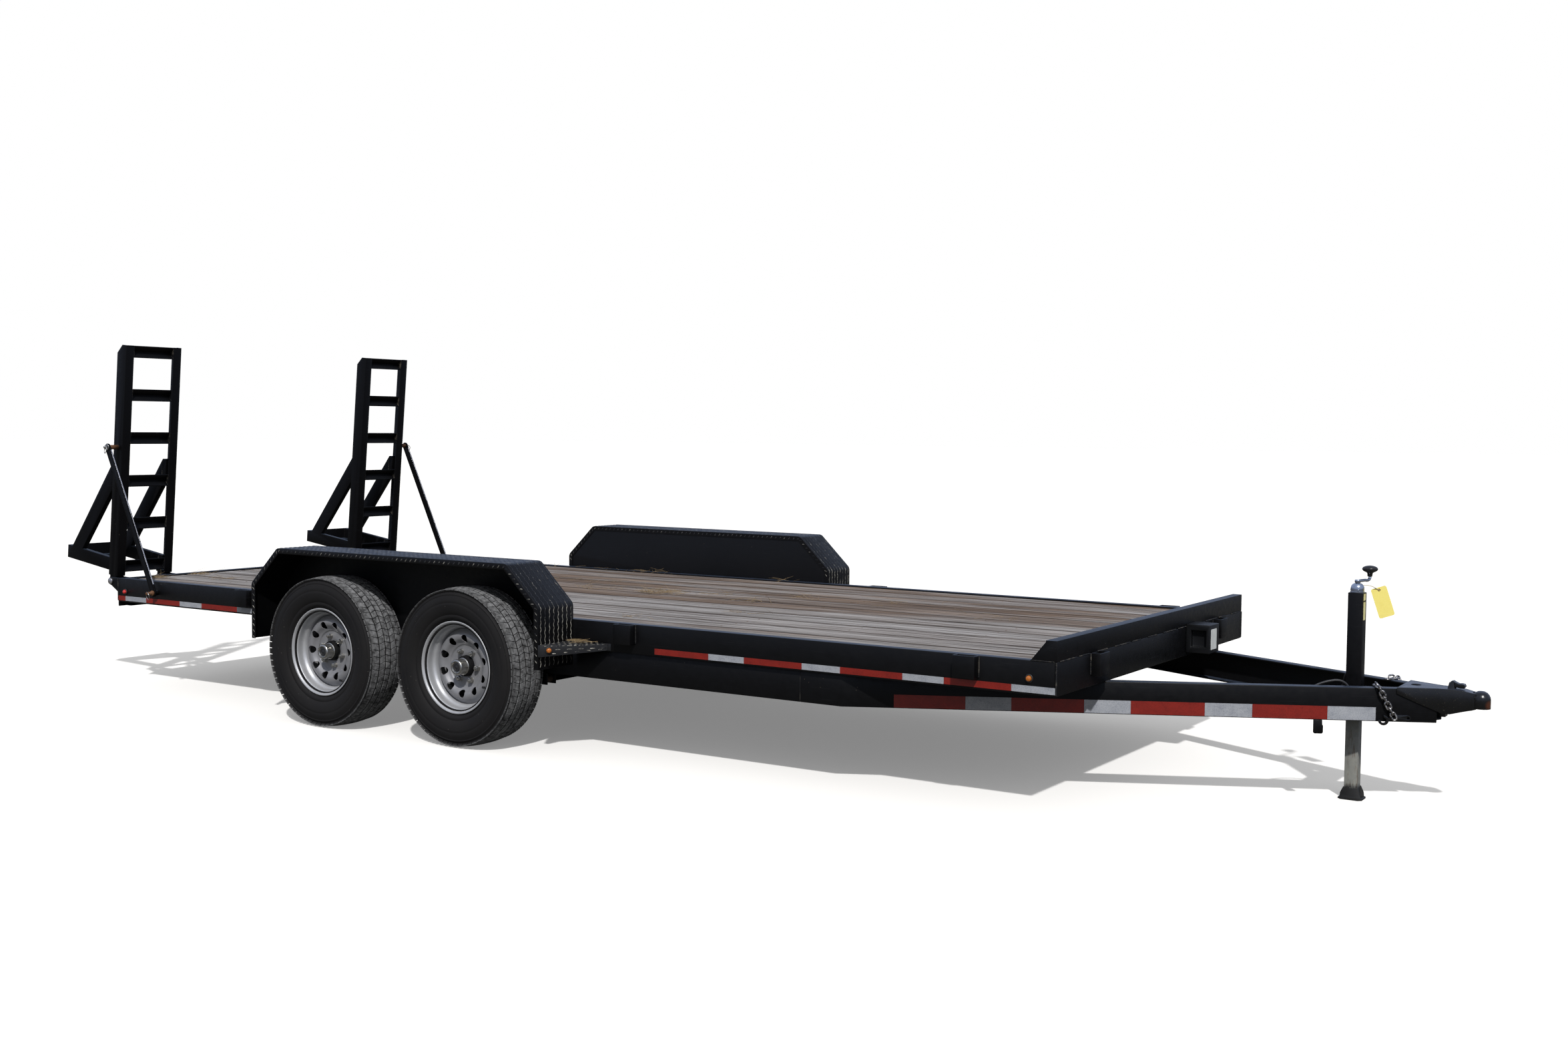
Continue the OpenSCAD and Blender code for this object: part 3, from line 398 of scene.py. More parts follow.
def weld(bm, start, end, size):
    """A row of ripples of a fillet weld from start to end; size is its leg in millimetres."""
    run = end - start
    count = max(2, int(run.length / (size * 0.00055)))
    turn = Vector((1, 0, 0)).rotation_difference(run.normalized()).to_matrix().to_4x4()
    shape = scaled(size * 0.00045, size * 0.00056, size * 0.00056)
    strew(bm, ripple, [moved(start + run * (k + 0.5) / count) @ turn @ shape for k in range(count)])


rail_face, deck_length = 1068, 5486
bm = bmesh.new()
for side in (-1, 1):
    edge = side * rail_face
    for back in (358, 1977, 4435):
        for end in (-46, 46):
            weld(bm, at(-back + end, edge, 508), at(-back + end, edge, 588), 7)
    weld(bm, at(-1, edge, 468), at(-1, edge, 588), 6)
    weld(bm, at(-deck_length, edge, 470), at(-deck_length, edge, 588), 6)
    weld(bm, at(-103, edge, 590.5), at(-10, edge, 590.5), 5)
    for end in (-46, 46):
        weld(bm, at(0, side * 704 + end, 508), at(0, side * 704 + end, 588), 7)
    # tongue rail under the header, and its splice to the main beam
    weld(bm, at(-2, side * 596, 461), at(-2, side * 548, 461), 8)
    weld(bm, at(-1111, side * 1049.5, 337), at(-1111, side * 1049.5, 461), 3)
# stitches along the foot of the stop
for k in range(12):
    weld(bm, at(0.3, -1040 + k * 178, 590), at(0.3, -1040 + k * 178 + (95 if k % 3 else 150), 590), 5)
piece("weld_beads", bm, weld_paint)


# Deck. Eleven lengthwise planks of treated pine, 38 mm thick, laid with drainage gaps and screwed to each
# crossmember. They have greyed in the weather, with brown patches, dark checks along the grain and knots.
def graded(tree, value, stops):
    """A colour that follows a value through sRGB codes, each with its place."""
    ramp = put(tree, "ShaderNodeValToRGB", {"Fac": value})
    ends = ramp.color_ramp.elements
    for end, (spot, code) in zip(ends, (stops[0], stops[-1])):
        end.position, end.color = spot, tone(code)
    for spot, code in stops[1:-1]:
        ends.new(spot).color = tone(code)
    return ramp.outputs["Color"]


def combined(tree, operation, a, b, output="Vector"):
    """The result of a sum on two vectors."""
    return put(tree, "ShaderNodeVectorMath", {0: a, 1: b}, operation=operation).outputs[output]


weathered_pine, tree, shader, place = new_finish(
    "weathered_sawn_pine_plank", {"Roughness": 0.86, "Specular IOR Level": 0.2})
plank_mark = put(tree, "ShaderNodeAttribute", attribute_name="plank").outputs["Fac"]
offset = put(tree, "ShaderNodeCombineXYZ", {"X": plank_mark, "Y": plank_mark, "Z": 0.0})
apart = combined(tree, "ADD", place, offset.outputs["Vector"])
# wavy fibre: the grain coordinate is pushed sideways by a slow noise
sway = put(tree, "ShaderNodeTexNoise", {"Vector": apart, "Scale": 1.4, "Detail": 2})
bent = combined(tree, "ADD", apart, combined(tree, "MULTIPLY", sway.outputs["Color"], (0.0, 0.05, 0.0)))
grain = noise(tree, stretched_by(tree, bent, (0.55, 26, 26)), 2.2, 9, 0.7)
patch = noise(tree, stretched_by(tree, apart, (0.3, 3.0, 1.0)), 1.7, 5, 0.62)
brown_board = maths(tree, "MULTIPLY", maths(tree, "FRACT", plank_mark), 4.6, clamp=True)
wood = mix(tree, maths(tree, "MULTIPLY", span(tree, patch, 0.36, 0.54), brown_board),
           graded(tree, grain, ((0.3, "47423f"), (0.45, "7f7c7b"), (0.58, "a9a8ab"), (0.74, "cacad0"))),
           graded(tree, grain, ((0.3, "2f2520"), (0.46, "5e4e42"), (0.6, "837061"), (0.74, "b9b0a6"))))
# drying checks: thin dark splits a few hundred millimetres long
split = span(tree, noise(tree, stretched_by(tree, bent, (0.6, 60, 60)), 2.6, 3), 0.58, 0.64)
wood = mix(tree, split, wood, "241b16")
# knots, 20 to 30 mm wide, one to a metre or so
knot_cells = cell_distance(tree, stretched_by(tree, apart, (1.0, 2.0, 1.0)), 2.1)
wood = mix(tree, span(tree, knot_cells, 0.025, 0.055, 0.75, 0.0), wood, "4a3424")
# painted shade and dirt: a band 10 mm wide along both edges of each plank is darkened, standing for the shade in the
# gaps
plank_low, plank_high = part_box("deck_planks")
plank_count, plank_gap = 11, 0.008
plank_wide = (plank_high.y - plank_low.y - plank_gap * (plank_count - 1)) / plank_count
from_edge = maths(tree, "SUBTRACT", axis_of(tree, place, "Y"), plank_low.y - plank_gap / 2)
from_edge = maths(tree, "PINGPONG", from_edge, (plank_wide + plank_gap) / 2)
edge_dirt_and_gap_shade = maths(tree, "MULTIPLY", span(tree, from_edge, 0.007, 0.017, 0.85, 0.0), patch)
wood = mix(tree, maths(tree, "MULTIPLY", edge_dirt_and_gap_shade, 1.7, clamp=True), wood, "33261d")
# painted shade: the sides of the planks, down in the gaps, are made near black
feed(shader, "Base Color", mix(tree, span(tree, facing_up(tree), 0.2, 0.9, 0.8, 0.0), wood, "120e0b"))
emboss(shader, maths(tree, "SUBTRACT", grain, split), 0.7, 0.002)


def longer(bm, length):
    """Edges that run along X for more than a length."""
    return [e for e in bm.edges if abs(e.verts[0].co.x - e.verts[1].co.x) > length]


rng = random.Random(7)
plank_thick = plank_high.z - plank_low.z
browning = [0.12, 0.02, 0.04, 0.01, 0.05, 0.2, 0.17, 0.21, 0.2, 0.16, 0.2]
deck_mesh = bpy.data.meshes.new("deck_boards")
boards = bmesh.new()
boards.verts.layers.float.new("plank")
for k in range(plank_count):
    bm = bmesh.new()
    mark = bm.verts.layers.float.new("plank")
    middle = Vector(((plank_low.x + plank_high.x) / 2, plank_low.y + plank_wide / 2 + k * (plank_wide + plank_gap),
                     plank_low.z + plank_thick / 2))
    size = scaled(plank_high.x - plank_low.x, plank_wide, plank_thick)
    bmesh.ops.create_cube(bm, size=1, matrix=moved(middle) @ size)
    bevelled(bm, longer(bm, 1), 0.003, 2)
    bmesh.ops.subdivide_edges(bm, edges=longer(bm, 1), cuts=26, use_grid_fill=True)
    # seasoned boards cup and bow a little; nothing rises above the sawn thickness
    phase, sag, cup = rng.uniform(0, 6.28), rng.uniform(0.0006, 0.0016), rng.uniform(0.0002, 0.0012)
    for v in bm.verts:
        across = (v.co.y - middle.y) / (plank_wide / 2)
        if v.co.z > middle.z:
            v.co.z -= sag * (0.5 + 0.5 * math.sin(v.co.x * 2.3 + phase)) + cup * (1 - across * across)
        if abs(across) > 0.5:
            v.co.y += 0.0007 * math.sin(v.co.x * 1.7 + phase * 3)
        v[mark] = 1.0 + k * 3.0 + browning[k]
    for f in bm.faces:
        f.smooth = abs(f.normal.z) < 0.95
    bm.to_mesh(deck_mesh)
    bm.free()
    boards.from_mesh(deck_mesh)
deck = piece("deck_boards", boards, weathered_pine)
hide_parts("deck_planks")


def mottled(name, dark, light, scale, detail, roughness, metallic=0.0, specular=0.5, grain=0.5, relief=None):
    """A finish that wanders between two tones with a noise. Roughness is one value, or two that follow the
    noise; relief is the strength and the depth of a bump that follows it."""
    made, tree, shader, place = new_finish(name, {"Metallic": metallic, "Specular IOR Level": specular})
    drift = noise(tree, place, scale, detail, grain)
    feed(shader, "Base Color", mix(tree, drift, dark, light))
    if isinstance(roughness, tuple):
        feed(shader, "Roughness", span(tree, drift, 0, 1, *roughness))
    else:
        shader.inputs["Roughness"].default_value = roughness
    if relief:
        emboss(shader, drift, *relief)
    return made


# self-drilling deck screws, two to a plank at each crossmember, 11 mm heads gone brown
rusty_screw = mottled("rusted_steel_screw_head", "3a2a1f", "7d5a3c", 300, 3, roughness=0.7, metallic=0.4)
bm = bmesh.new()
bmesh.ops.create_cone(bm, cap_ends=True, segments=10, radius1=0.0055, radius2=0.0042, depth=0.0014)
head = as_mesh(bm, "deck_screw_head")
bm = bmesh.new()
places = []
for row in range(11):
    back = 75 + row * (deck_length - 90 - 60) / 10 - 18
    for k in range(plank_count):
        for spot in (0.22, 0.78):
            y = plank_low.y + k * (plank_wide + plank_gap) + plank_wide * spot + rng.uniform(-0.004, 0.004)
            places.append(moved((deck_front - back / 1000 + rng.uniform(-0.006, 0.006), y, plank_high.z - 0.0012)))
strew(bm, head, places)
piece("deck_screws", bm, rusty_screw)


# Straw. Dry hay stems blown into the corners of the deck and the step, each a thin bent blade.
def about(axis, angle):
    """A matrix that turns about an axis by an angle in radians."""
    return Matrix.Rotation(angle, 4, axis)


dry_straw = mottled("dry_straw_stem", "6b573f", "ab9877", 25, 3, roughness=0.75, specular=0.25)
bm = bmesh.new()
bmesh.ops.create_cone(bm, cap_ends=False, segments=3, radius1=0.0008, radius2=0.0004, depth=1,
                      matrix=about("Y", math.pi / 2))
bmesh.ops.subdivide_edges(bm, edges=longer(bm, 0.5), cuts=3)
for v in bm.verts:
    v.co.z += 0.005 * (0.25 - v.co.x * v.co.x)
stem = as_mesh(bm, "straw_stem")
bm = bmesh.new()
deck_z, step_z = 583, 498
clumps = (
    (-2744, 110, deck_z, 49, 190, 60), (-2690, 160, deck_z, 33, 110, 45), (-2078, 46, deck_z, 19, 120, 45),
    (-2415, 236, deck_z, 14, 130, 70), (-3130, 124, deck_z, 16, 150, 80), (-3447, 1052, deck_z, 22, 170, 20),
    (-2590, 1040, deck_z, 9, 160, 25), (-1961, 336, deck_z, 13, 120, 50), (-2147, -827, deck_z, 8, 110, 50),
    (-5400, -900, deck_z, 24, 160, 40), (-5400, -640, deck_z, 24, 170, 40), (-5050, -720, deck_z, 11, 170, 60),
    (-5395, 300, deck_z, 33, 420, 35), (-1862, -376, deck_z, 8, 140, 60), (-3900, 1040, deck_z, 10, 420, 18),
    (-4700, 1035, deck_z, 12, 420, 18), (-760, 60, deck_z, 8, 260, 160), (-3500, 300, deck_z, 13, 420, 260),
    (-2205, -1106, step_z, 60, 70, 24), (-2243, 1105, step_z, 60, 34, 30), (-1400, 300, deck_z, 11, 420, 300),
)
places = []
for x, y, z, count, reach_x, reach_y in clumps:
    for _ in range(count):
        length = rng.uniform(0.035, 0.12)
        rise = abs(rng.gauss(0, 0.16 if z == deck_z else 0.07))
        spot = at(x + rng.gauss(0, reach_x / 2.2), y + rng.gauss(0, reach_y / 2.2), z + 1.5)
        if z == step_z:
            # the step is a small triangle: a stem's middle stays over it
            spot.x = min(max(spot.x, deck_front - 2.272), deck_front - 2.12)
            spot.y = max(min(abs(spot.y), 1.24 - (spot.x - deck_front + 2.278) * 0.9), 1.085) * (1 if y > 0 else -1)
            length *= 0.7
        else:
            spot.y = max(min(spot.y, 1.05), -1.05)
            spot.x = max(min(spot.x, deck_front - 0.11), deck_front - 5.37)
        spot.z += length / 2 * math.sin(rise) + rng.uniform(0, 0.006)
        places.append(moved(spot) @ about("Z", rng.uniform(0, math.tau))
                      @ about("Y", -rise) @ scaled(length, 1, 1))
strew(bm, stem, places)
piece("straw", bm, dry_straw)


# Fenders. Each is 3 mm steel tread plate, brake-formed over both wheels with a turned-down edge inside and
# out, welded to a flat inner plate. Raised lozenges stand in rows, each turned the other way from the last;
# their crowns are scuffed, and those on the legs and the turned-down edges carry a painted highlight.
scuffed_and_glinting_lozenge, tree, shader, place = new_finish(
    "scuffed_enamel_with_painted_glints_on_tread_plate_lozenge", {"Roughness": 0.36, "Specular IOR Level": 0.4})
# painted highlight: lozenges on the legs and the turned-down edges are made lighter than on the slopes and
# the top, standing for the sun's glints on them; a noise spreads the lighter tone as scuffs
painted_leg_glint = span(tree, axis_of(tree, place, "Z"), 0.655, 0.675, 0.13, 0.0)
painted_edge_glint = span(tree, maths(tree, "ABSOLUTE", axis_of(tree, place, "Y")), 1.289, 1.293, 0.0, 0.06)
scuff_and_glint = maths(tree, "ADD", maths(tree, "MAXIMUM", painted_leg_glint, painted_edge_glint), noise(tree, place, 30, 5, 0.7))
feed(shader, "Base Color", mix(tree, span(tree, scuff_and_glint, 0.54, 0.74), "0b0c0f", "93918a"))
trodden_enamel = mottled("trodden_black_enamel_on_tread_plate_step", "121316", "2a2b2e", 55, 6, roughness=0.48,
                         specular=0.3, grain=0.75, relief=(0.2, 0.0006))
bm = bmesh.new()
bmesh.ops.create_uvsphere(bm, u_segments=8, v_segments=4, radius=1)
cut = bm.verts[:] + bm.edges[:] + bm.faces[:]
bmesh.ops.bisect_plane(bm, geom=cut, plane_co=(0, 0, 0), plane_no=(0, 0, -1), clear_outer=True)
carry(bm, bm.verts, scaled(0.009, 0.0023, 0.0012))
smooth(bm)
lozenge = as_mesh(bm, "tread_lozenge")
fender_corners = [Vector(c) for c in ((-919, 390), (-919, 660), (-733, 837), (733, 837), (919, 660), (919, 390))]
fender_bend = 34
fender_x = -3197


def fender_path(inwards):
    """Points along the fender's rounded side outline in millimetres, moved inwards."""
    found = []
    for k, corner in enumerate(fender_corners):
        if k in (0, 5):
            found.append(corner + Vector((inwards if k == 0 else -inwards, 0)))
            continue
        into = (corner - fender_corners[k - 1]).normalized()
        out = (fender_corners[k + 1] - corner).normalized()
        half = into.angle(out) / 2
        centre = corner + (out - into).normalized() * fender_bend / math.cos(half)
        spoke = (into - out).normalized() * (fender_bend - inwards)
        for step in range(7):
            a = half - 2 * half * step / 6
            found.append(centre + Vector((spoke.x * math.cos(a) - spoke.y * math.sin(a),
                                          spoke.x * math.sin(a) + spoke.y * math.cos(a))))
    return found


def along_fender(path, s):
    """The place and direction at s millimetres along a path."""
    for a, b in zip(path, path[1:]):
        run = (b - a).length
        if s <= run:
            return a + (b - a) * s / run, (b - a).normalized()
        s -= run
    return path[-1], (path[-1] - path[-2]).normalized()


def crossed(place_at, long, wide, pitch=14.7, row=28.3, margin=11):
    """Places for lozenges in rows along the sheet, each turned the other way; place_at(s, t) is s along, t across."""
    places = []
    for j in range(int((wide - margin) / row) + 1):
        for i in range(int(long / pitch)):
            s, t = i * pitch + 10, margin + j * row
            if s < long - 8:
                places.append(place_at(s, t) @ about("Z", math.radians(21 - 42 * (i % 2))))
    return places


def turned_to(x_axis, z_axis):
    """A matrix that turns X and Z to two directions."""
    return Matrix((x_axis, z_axis.cross(x_axis), z_axis)).transposed().to_4x4()


outer_path = fender_path(0)
fender_run = sum((b - a).length for a, b in zip(outer_path, outer_path[1:]))
aslant = about("Z", math.radians(45))
for side, name in ((-1, "right"), (1, "left")):

    def over_top(s, t):
        """Matrix on the outer face of the tread plate, with Z out of the plate."""
        spot, way = along_fender(outer_path, s)
        turn = turned_to(Vector((way.x, 0, way.y)), Vector((-way.y, 0, way.x)))
        return moved(at(fender_x + spot.x, side * (1069 + t), spot.y)) @ turn

    def on_edge(s, t, y, out):
        """Matrix on a turned-down edge in the plane y, t below the top, with Z out of it."""
        spot, way = along_fender(outer_path, s)
        spot = spot + Vector((way.y, -way.x)) * t
        return moved(at(fender_x + spot.x, y, spot.y)) @ turned_to(Vector((way.x, 0, way.y)), Vector((0, out, 0)))

    def pulled_in(bm):
        """Leaves room for the raised pattern of the outer edge inside the fender's width."""
        for v in bm.verts:
            if abs(v.co.y) > 1.2945:
                v.co.y -= side * 0.0012

    softened("fender_" + name, 0.8, black_enamel, shift=pulled_in)
    softened("fender_step_" + name, 0.5, trodden_enamel)
    bm = bmesh.new()
    strew(bm, lozenge, crossed(over_top, fender_run, 226))
    rows = [8 + k * 29.4 for k in range(int(fender_run / 29.4))]
    strew(bm, lozenge, [on_edge(s, 14, side * 1294.8, side) @ aslant for s in rows])
    # turned-down edge on the deck side, from the deck up
    rows = [s for s in rows if along_fender(outer_path, s)[0].y > 612]
    strew(bm, lozenge, [on_edge(s, 13, side * 1065.7, -side) @ aslant for s in rows])
    # step plate: lozenges on its top and along its skirt
    edge_way = Vector((187, side * -228, 0)).normalized()
    skirt = turned_to(edge_way, Vector((228, side * 187, 0)).normalized())
    for k in range(6):
        for z, first, size in ((494.5, 27, 0.9), (494.5, 52, 0.55), (479, 77, 1.0), (462 + k * 2.8, 60, 0.75)):
            s = first + k * 50
            if s < 284:
                spot = at(-2267, side * 1296, z) + edge_way * s / 1000
                strew(bm, lozenge, [moved(spot) @ skirt @ scaled(size * 1.3, 1, 1)])
    for i in range(12):
        for j in range(14):
            x, y = 10 + i * 16.5, 8 + j * 16.5
            if (i + j) % 2 == 0 and y < 220 and x < 190 - max(0, y - 10) * 0.8:
                turn = about("Z", math.radians(90 * (i % 2)))
                strew(bm, lozenge, [moved(at(-2278 + x, side * (rail_face + y), step_z)) @ turn])
    piece("tread_lozenges_" + name, bm, scuffed_and_glinting_lozenge)
    # the inner turned-down edge itself, a band 26 mm deep over the inner plate
    bm = bmesh.new()
    loops = []
    for inwards in (0, 26):
        whole = fender_path(inwards)
        points = [Vector((whole[0].x, 592)), *[p for p in whole if p.y > 600], Vector((whole[-1].x, 592))]
        line = [bm.verts.new(at(fender_x + p.x, side * 1067.9, p.y)) for p in points]
        loops += [bm.edges.new(pair) for pair in zip(line, line[1:])]
    band = bmesh.ops.bridge_loops(bm, edges=loops)["faces"]
    thick = bmesh.ops.extrude_face_region(bm, geom=band)["geom"]
    bmesh.ops.translate(bm, verts=[v for v in thick if isinstance(v, bmesh.types.BMVert)], vec=(0, -side * 0.0022, 0))
    bmesh.ops.recalc_face_normals(bm, faces=bm.faces)
    piece("fender_inner_edge_" + name, bm, black_enamel)


# Tyres. Radial trailer tyres, 216 mm wide and 714 mm across, of carbon-black rubber: matt sidewalls with
# moulded rings, a notched shoulder and five ribs of small blocks, greyed by road dust. Sidewalls are bare.
tyre_rubber, tree, shader, place = new_finish("moulded_carbon_black_tyre_rubber", {"Specular IOR Level": 0.22})
film = noise(tree, place, 9, 6, 0.65)
speckle = noise(tree, place, 48, 5, 0.6)
# dust lies on the tread, not in its grooves: each point knows how far from the axle it counts as standing
crest = span(tree, put(tree, "ShaderNodeAttribute", attribute_name="reach").outputs["Fac"], 0.341, 0.3535)
rubber = mix(tree, maths(tree, "MULTIPLY", crest, 0.75), mix(tree, film, "121112", "201f1f"),
             mix(tree, span(tree, speckle, 0.34, 0.7), "47484a", "a6a8ac"))
# a few pale specks of dried mud on the sidewall
dot = maths(tree, "MULTIPLY", maths(tree, "LESS_THAN", cell_distance(tree, place, 34), 0.05), 0.35)
feed(shader, "Base Color", mix(tree, dot, rubber, "8d8a84"))
feed(shader, "Roughness", span(tree, film, 0, 1, 0.6, 0.85))
emboss(shader, speckle, 0.25, 0.0008)


def mm(points):
    """Points of a profile from millimetres to metres."""
    return [(r / 1000, y / 1000) for r, y in points]


def block(bm, matrix=Matrix.Identity(4)):
    """Adds a unit cube, moved by the matrix."""
    return bmesh.ops.create_cube(bm, size=1, matrix=matrix)["verts"]


def handed(bm, side):
    """Turns the faces right way out once a piece is mirrored to the right side."""
    if side < 0:
        bmesh.ops.reverse_faces(bm, faces=bm.faces)


bm = bmesh.new()
outer_wall = [(190, 79), (208, 79.5), (216, 87), (221, 92.5), (226, 94.5), (232, 94.6), (236, 93.8), (243, 98.5),
              (252, 102.5), (264, 105.8), (278, 107.6), (286, 107.9), (288, 107.0), (291, 107.0), (293, 107.7),
              (304, 106.3), (314, 103.6), (322, 100.6), (324, 101.4), (327, 101.2), (329, 98.6), (337, 95.2),
              (343, 91.5), (348, 86.5), (350, 82)]
base = [(349, 60), (349, 46), (349.2, 0), (349, -46), (349, -60)]
lining = [(190, -60), (214, -76), (244, -88), (280, -97), (318, -90), (336, -60), (340, 0), (336, 60), (318, 90),
          (280, 97), (244, 88), (214, 76), (190, 60)]
section = [*outer_wall, *base, *[(r, -y) for r, y in reversed(outer_wall)], *lining]
turned(bm, mm(section), 120, closed=True)
# one pitch of tread: five ribs with a slanted cut across each, and a wide shoulder lug on both sides
pitch_count = 72
pitch_bm = bmesh.new()
for low, high, slant in ((-86, -55.5, 0.3), (-48.5, -19.5, -0.34), (-12.5, 12.5, 0.34), (19.5, 48.5, -0.34),
                         (55.5, 86, 0.3)):
    centre = (low + high) / 2
    crown = 357 - 6 * (centre / 85) ** 2
    made = block(pitch_bm)
    carry(pitch_bm, made, moved(((crown - 4.6) / 1000, centre / 1000, 0))
          @ scaled(0.0092, (high - low) / 1000, 0.0284))
    for v in made:
        v.co.z += (v.co.y - centre / 1000) * slant
        # crown and shoulder: the outer corners drop with the tyre's curve
        if v.co.x > (crown - 3) / 1000:
            v.co.x = math.sqrt((0.357 - 0.006 * (abs(v.co.y) / 0.085) ** 2.6) ** 2 - v.co.z ** 2)
    top = [f for f in {f for v in made for f in v.link_faces} if f.calc_center_median().x > (crown - 3) / 1000]
    bevelled(pitch_bm, list({e for f in top for e in f.edges}), 0.0009, 1)
for end in (-1, 1):
    made = block(pitch_bm)
    carry(pitch_bm, made, moved((0.3375, end * 0.0937, 0.004)) @ about("Z", end * 0.62)
          @ scaled(0.027, 0.0042, 0.0258))
    for v in made:
        v.co.z -= (v.co.x - 0.3375) * 0.25
bmesh.ops.recalc_face_normals(pitch_bm, faces=pitch_bm.faces)
strew(bm, as_mesh(pitch_bm, "tread_pitch"), [about("Y", math.tau * k / pitch_count) for k in range(pitch_count)])
reach = bm.verts.layers.float.new("reach")
for v in bm.verts:
    v[reach] = math.hypot(v.co.x, v.co.z)
    if v[reach] < 0.3505 and abs(v.co.y) < 0.084:
        v[reach] = 0.325
tyre_mesh = as_mesh(bm, "tyre_form", 32)
axles_x, axle_apart, track_half, hub_z = -3215, 864, 1187, 357
hubs = {}
for end, ahead, rolled in (("front", axle_apart / 2, 4), ("rear", -axle_apart / 2, 17)):
    for side, name in ((-1, "right"), (1, "left")):
        spot = moved(at(axles_x + ahead, side * track_half, hub_z)) @ scaled(1, side, 1)
        spot = spot @ about("Y", math.radians(rolled))
        hubs[f"{end}_{name}"] = side, spot
        bm = bmesh.new()
        strew(bm, tyre_mesh, [spot])
        handed(bm, side)
        tyre = piece(f"tyre_{end}_{name}_shown", bm, tyre_rubber, f"wheelset_{end}_{name}")
        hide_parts(f"tyre_{end}_{name}")


# Wheels. Pressed steel rims with a wide outer slope and a welded disc with ten round hand holes, sprayed
# silver; six zinc cone nuts on a 139.7 mm circle, a black drum and hub behind, a bright oil cap and a
# rubber valve stem. Brake dust and road film dull the disc.
silver_paint, tree, shader, place = new_finish("silver_metallic_lacquer_on_steel_wheel", {"Metallic": 0.4})
road_film = noise(tree, place, 14, 6, 0.65)
feed(shader, "Base Color", mix(tree, span(tree, road_film, 0.35, 0.75, 0.0, 0.5), "b9bbbf", "929396"))
feed(shader, "Roughness", span(tree, road_film, 0, 1, 0.36, 0.55))
emboss(shader, noise(tree, place, 500, 2), 0.08, 0.0004)
dull_paint = mottled("silver_lacquer_dulled_by_brake_dust", "919297", "75767a", 20, 6, roughness=(0.42, 0.62),
                     metallic=0.25, grain=0.65)
drum_paint = mottled("black_primer_on_cast_brake_drum", "060607", "141314", 70, 5, roughness=0.7, specular=0.2)
zinc_nut = mottled("bright_zinc_plated_wheel_nut", "d0cfca", "8b867c", 160, 4, roughness=(0.22, 0.42), metallic=1.0)
stem_rubber = mottled("black_moulded_rubber", "0b0b0c", "262628", 120, 4, roughness=0.6)


def lathed(name, profile, steps, sharp=None, closed=True):
    """A mesh turned about the axle from a profile of (radius, outwards) points in millimetres."""
    bm = bmesh.new()
    turned(bm, mm(profile), steps, closed=closed)
    return as_mesh(bm, name, sharp)


rim_outer = [(200.5, 79.5), (204.5, 81.5), (207.2, 84.0), (208, 86.2), (206.8, 87.8), (204.2, 88), (200.8, 86.6),
             (197.2, 82.6), (195.4, 77.5), (194.2, 73.6), (191.6, 71.4), (188.4, 70.4), (186.6, 67.6), (185.6, 60),
             (184.6, 50), (183.2, 41.2), (179.4, 36.8), (175.4, 33.2), (172.6, 27.6), (171, 21), (170.2, 10),
             (170.2, -24)]
rim_inner = [(171, -34), (176, -46), (185, -56), (186.6, -76), (196, -82), (204, -88), (208, -88), (208, -83),
             (200.5, -79.5)]
rim_back = [(191, -74), (190, -54), (182, -44), (175, -32), (174.2, 18), (177.5, 33), (187.5, 42), (191, 66),
            (195, 74)]
rim_mesh = lathed("wheel_rim_form", [*rim_outer, *rim_inner, *rim_back], 128)
disc_face = [(47, 12.6), (49, 14), (66, 14), (90, 14), (93.6, 15), (95.6, 17.2), (97.6, 19.6), (101, 21), (106, 23),
             (112, 28), (117.5, 34.5), (122, 38), (128, 40), (135, 40.6), (144, 39.4), (150, 36.4), (155, 31),
             (160, 24.6), (165, 19.4), (168.6, 17), (169.6, 15)]
disc_back = [(168.6, 9.6), (160, 13.4), (152, 24), (146, 31), (137, 34.6), (128, 34.6), (120, 31), (112, 22.5),
             (104, 16), (97, 12), (92, 9), (88, 8), (49, 8), (47, 9)]
disc = bpy.data.objects.new("wheel_disc_blank", lathed("wheel_disc_form", [*disc_face, *disc_back], 120))
disc.data.materials.append(dull_paint)
scene.collection.objects.link(disc)
vent_count = 10
bm = bmesh.new()
for k in range(vent_count):
    turn = about("Y", math.tau * (k + 0.5) / vent_count)
    bmesh.ops.create_cone(bm, cap_ends=True, segments=28, radius1=0.0178, radius2=0.0178, depth=0.09,
                          matrix=turn @ moved((0.125, 0.02, 0)) @ about("X", math.pi / 2))
punch = bpy.data.objects.new("vent_punch", as_mesh(bm, "vent_punch"))
scene.collection.objects.link(punch)
punched = disc.modifiers.new("vents", "BOOLEAN")
punched.operation, punched.object, punched.solver = "DIFFERENCE", punch, "EXACT"


def evaluated(used):
    """The mesh of an object after its modifiers or its bevel; the object is then removed."""
    bpy.context.view_layer.update()
    made = bpy.data.meshes.new_from_object(used.evaluated_get(bpy.context.evaluated_depsgraph_get()))
    bpy.data.objects.remove(used)
    return made


disc_mesh = evaluated(disc)
bpy.data.objects.remove(punch)
disc_mesh.set_sharp_from_angle(angle=math.radians(38))
drum_mesh = lathed("hub_and_drum_form", [(26, -78), (152, -78), (155, -75), (155, -12), (150, -8), (70, -8),
                                         (60, 5.5), (46.4, 5.9), (46, 31), (44, 34.5), (26, 34.5)], 64, 38)
cap_mesh = lathed("oil_cap_form", [(20, 34), (37.5, 34), (38.6, 35), (38.6, 40.5), (37.2, 41.6), (35.6, 42.6),
                                   (35.2, 45), (35.4, 70), (35, 77.4), (33.2, 80.6), (30.4, 82.4), (27.4, 83),
                                   (24.6, 82.4), (23.4, 80.2), (22.4, 77.6), (20, 77)], 64, 38)
plug_mesh = lathed("cap_plug_form", [(0, 79.6), (5, 79.5), (6.4, 78.4), (11.4, 78.2), (12.6, 79.4), (16.6, 79.6),
                                     (18.6, 78.6), (20.8, 77.8), (21.2, 74), (0, 74)], 48, 38, closed=False)
nut_count, nut_circle = 6, 139.7
bm = bmesh.new()
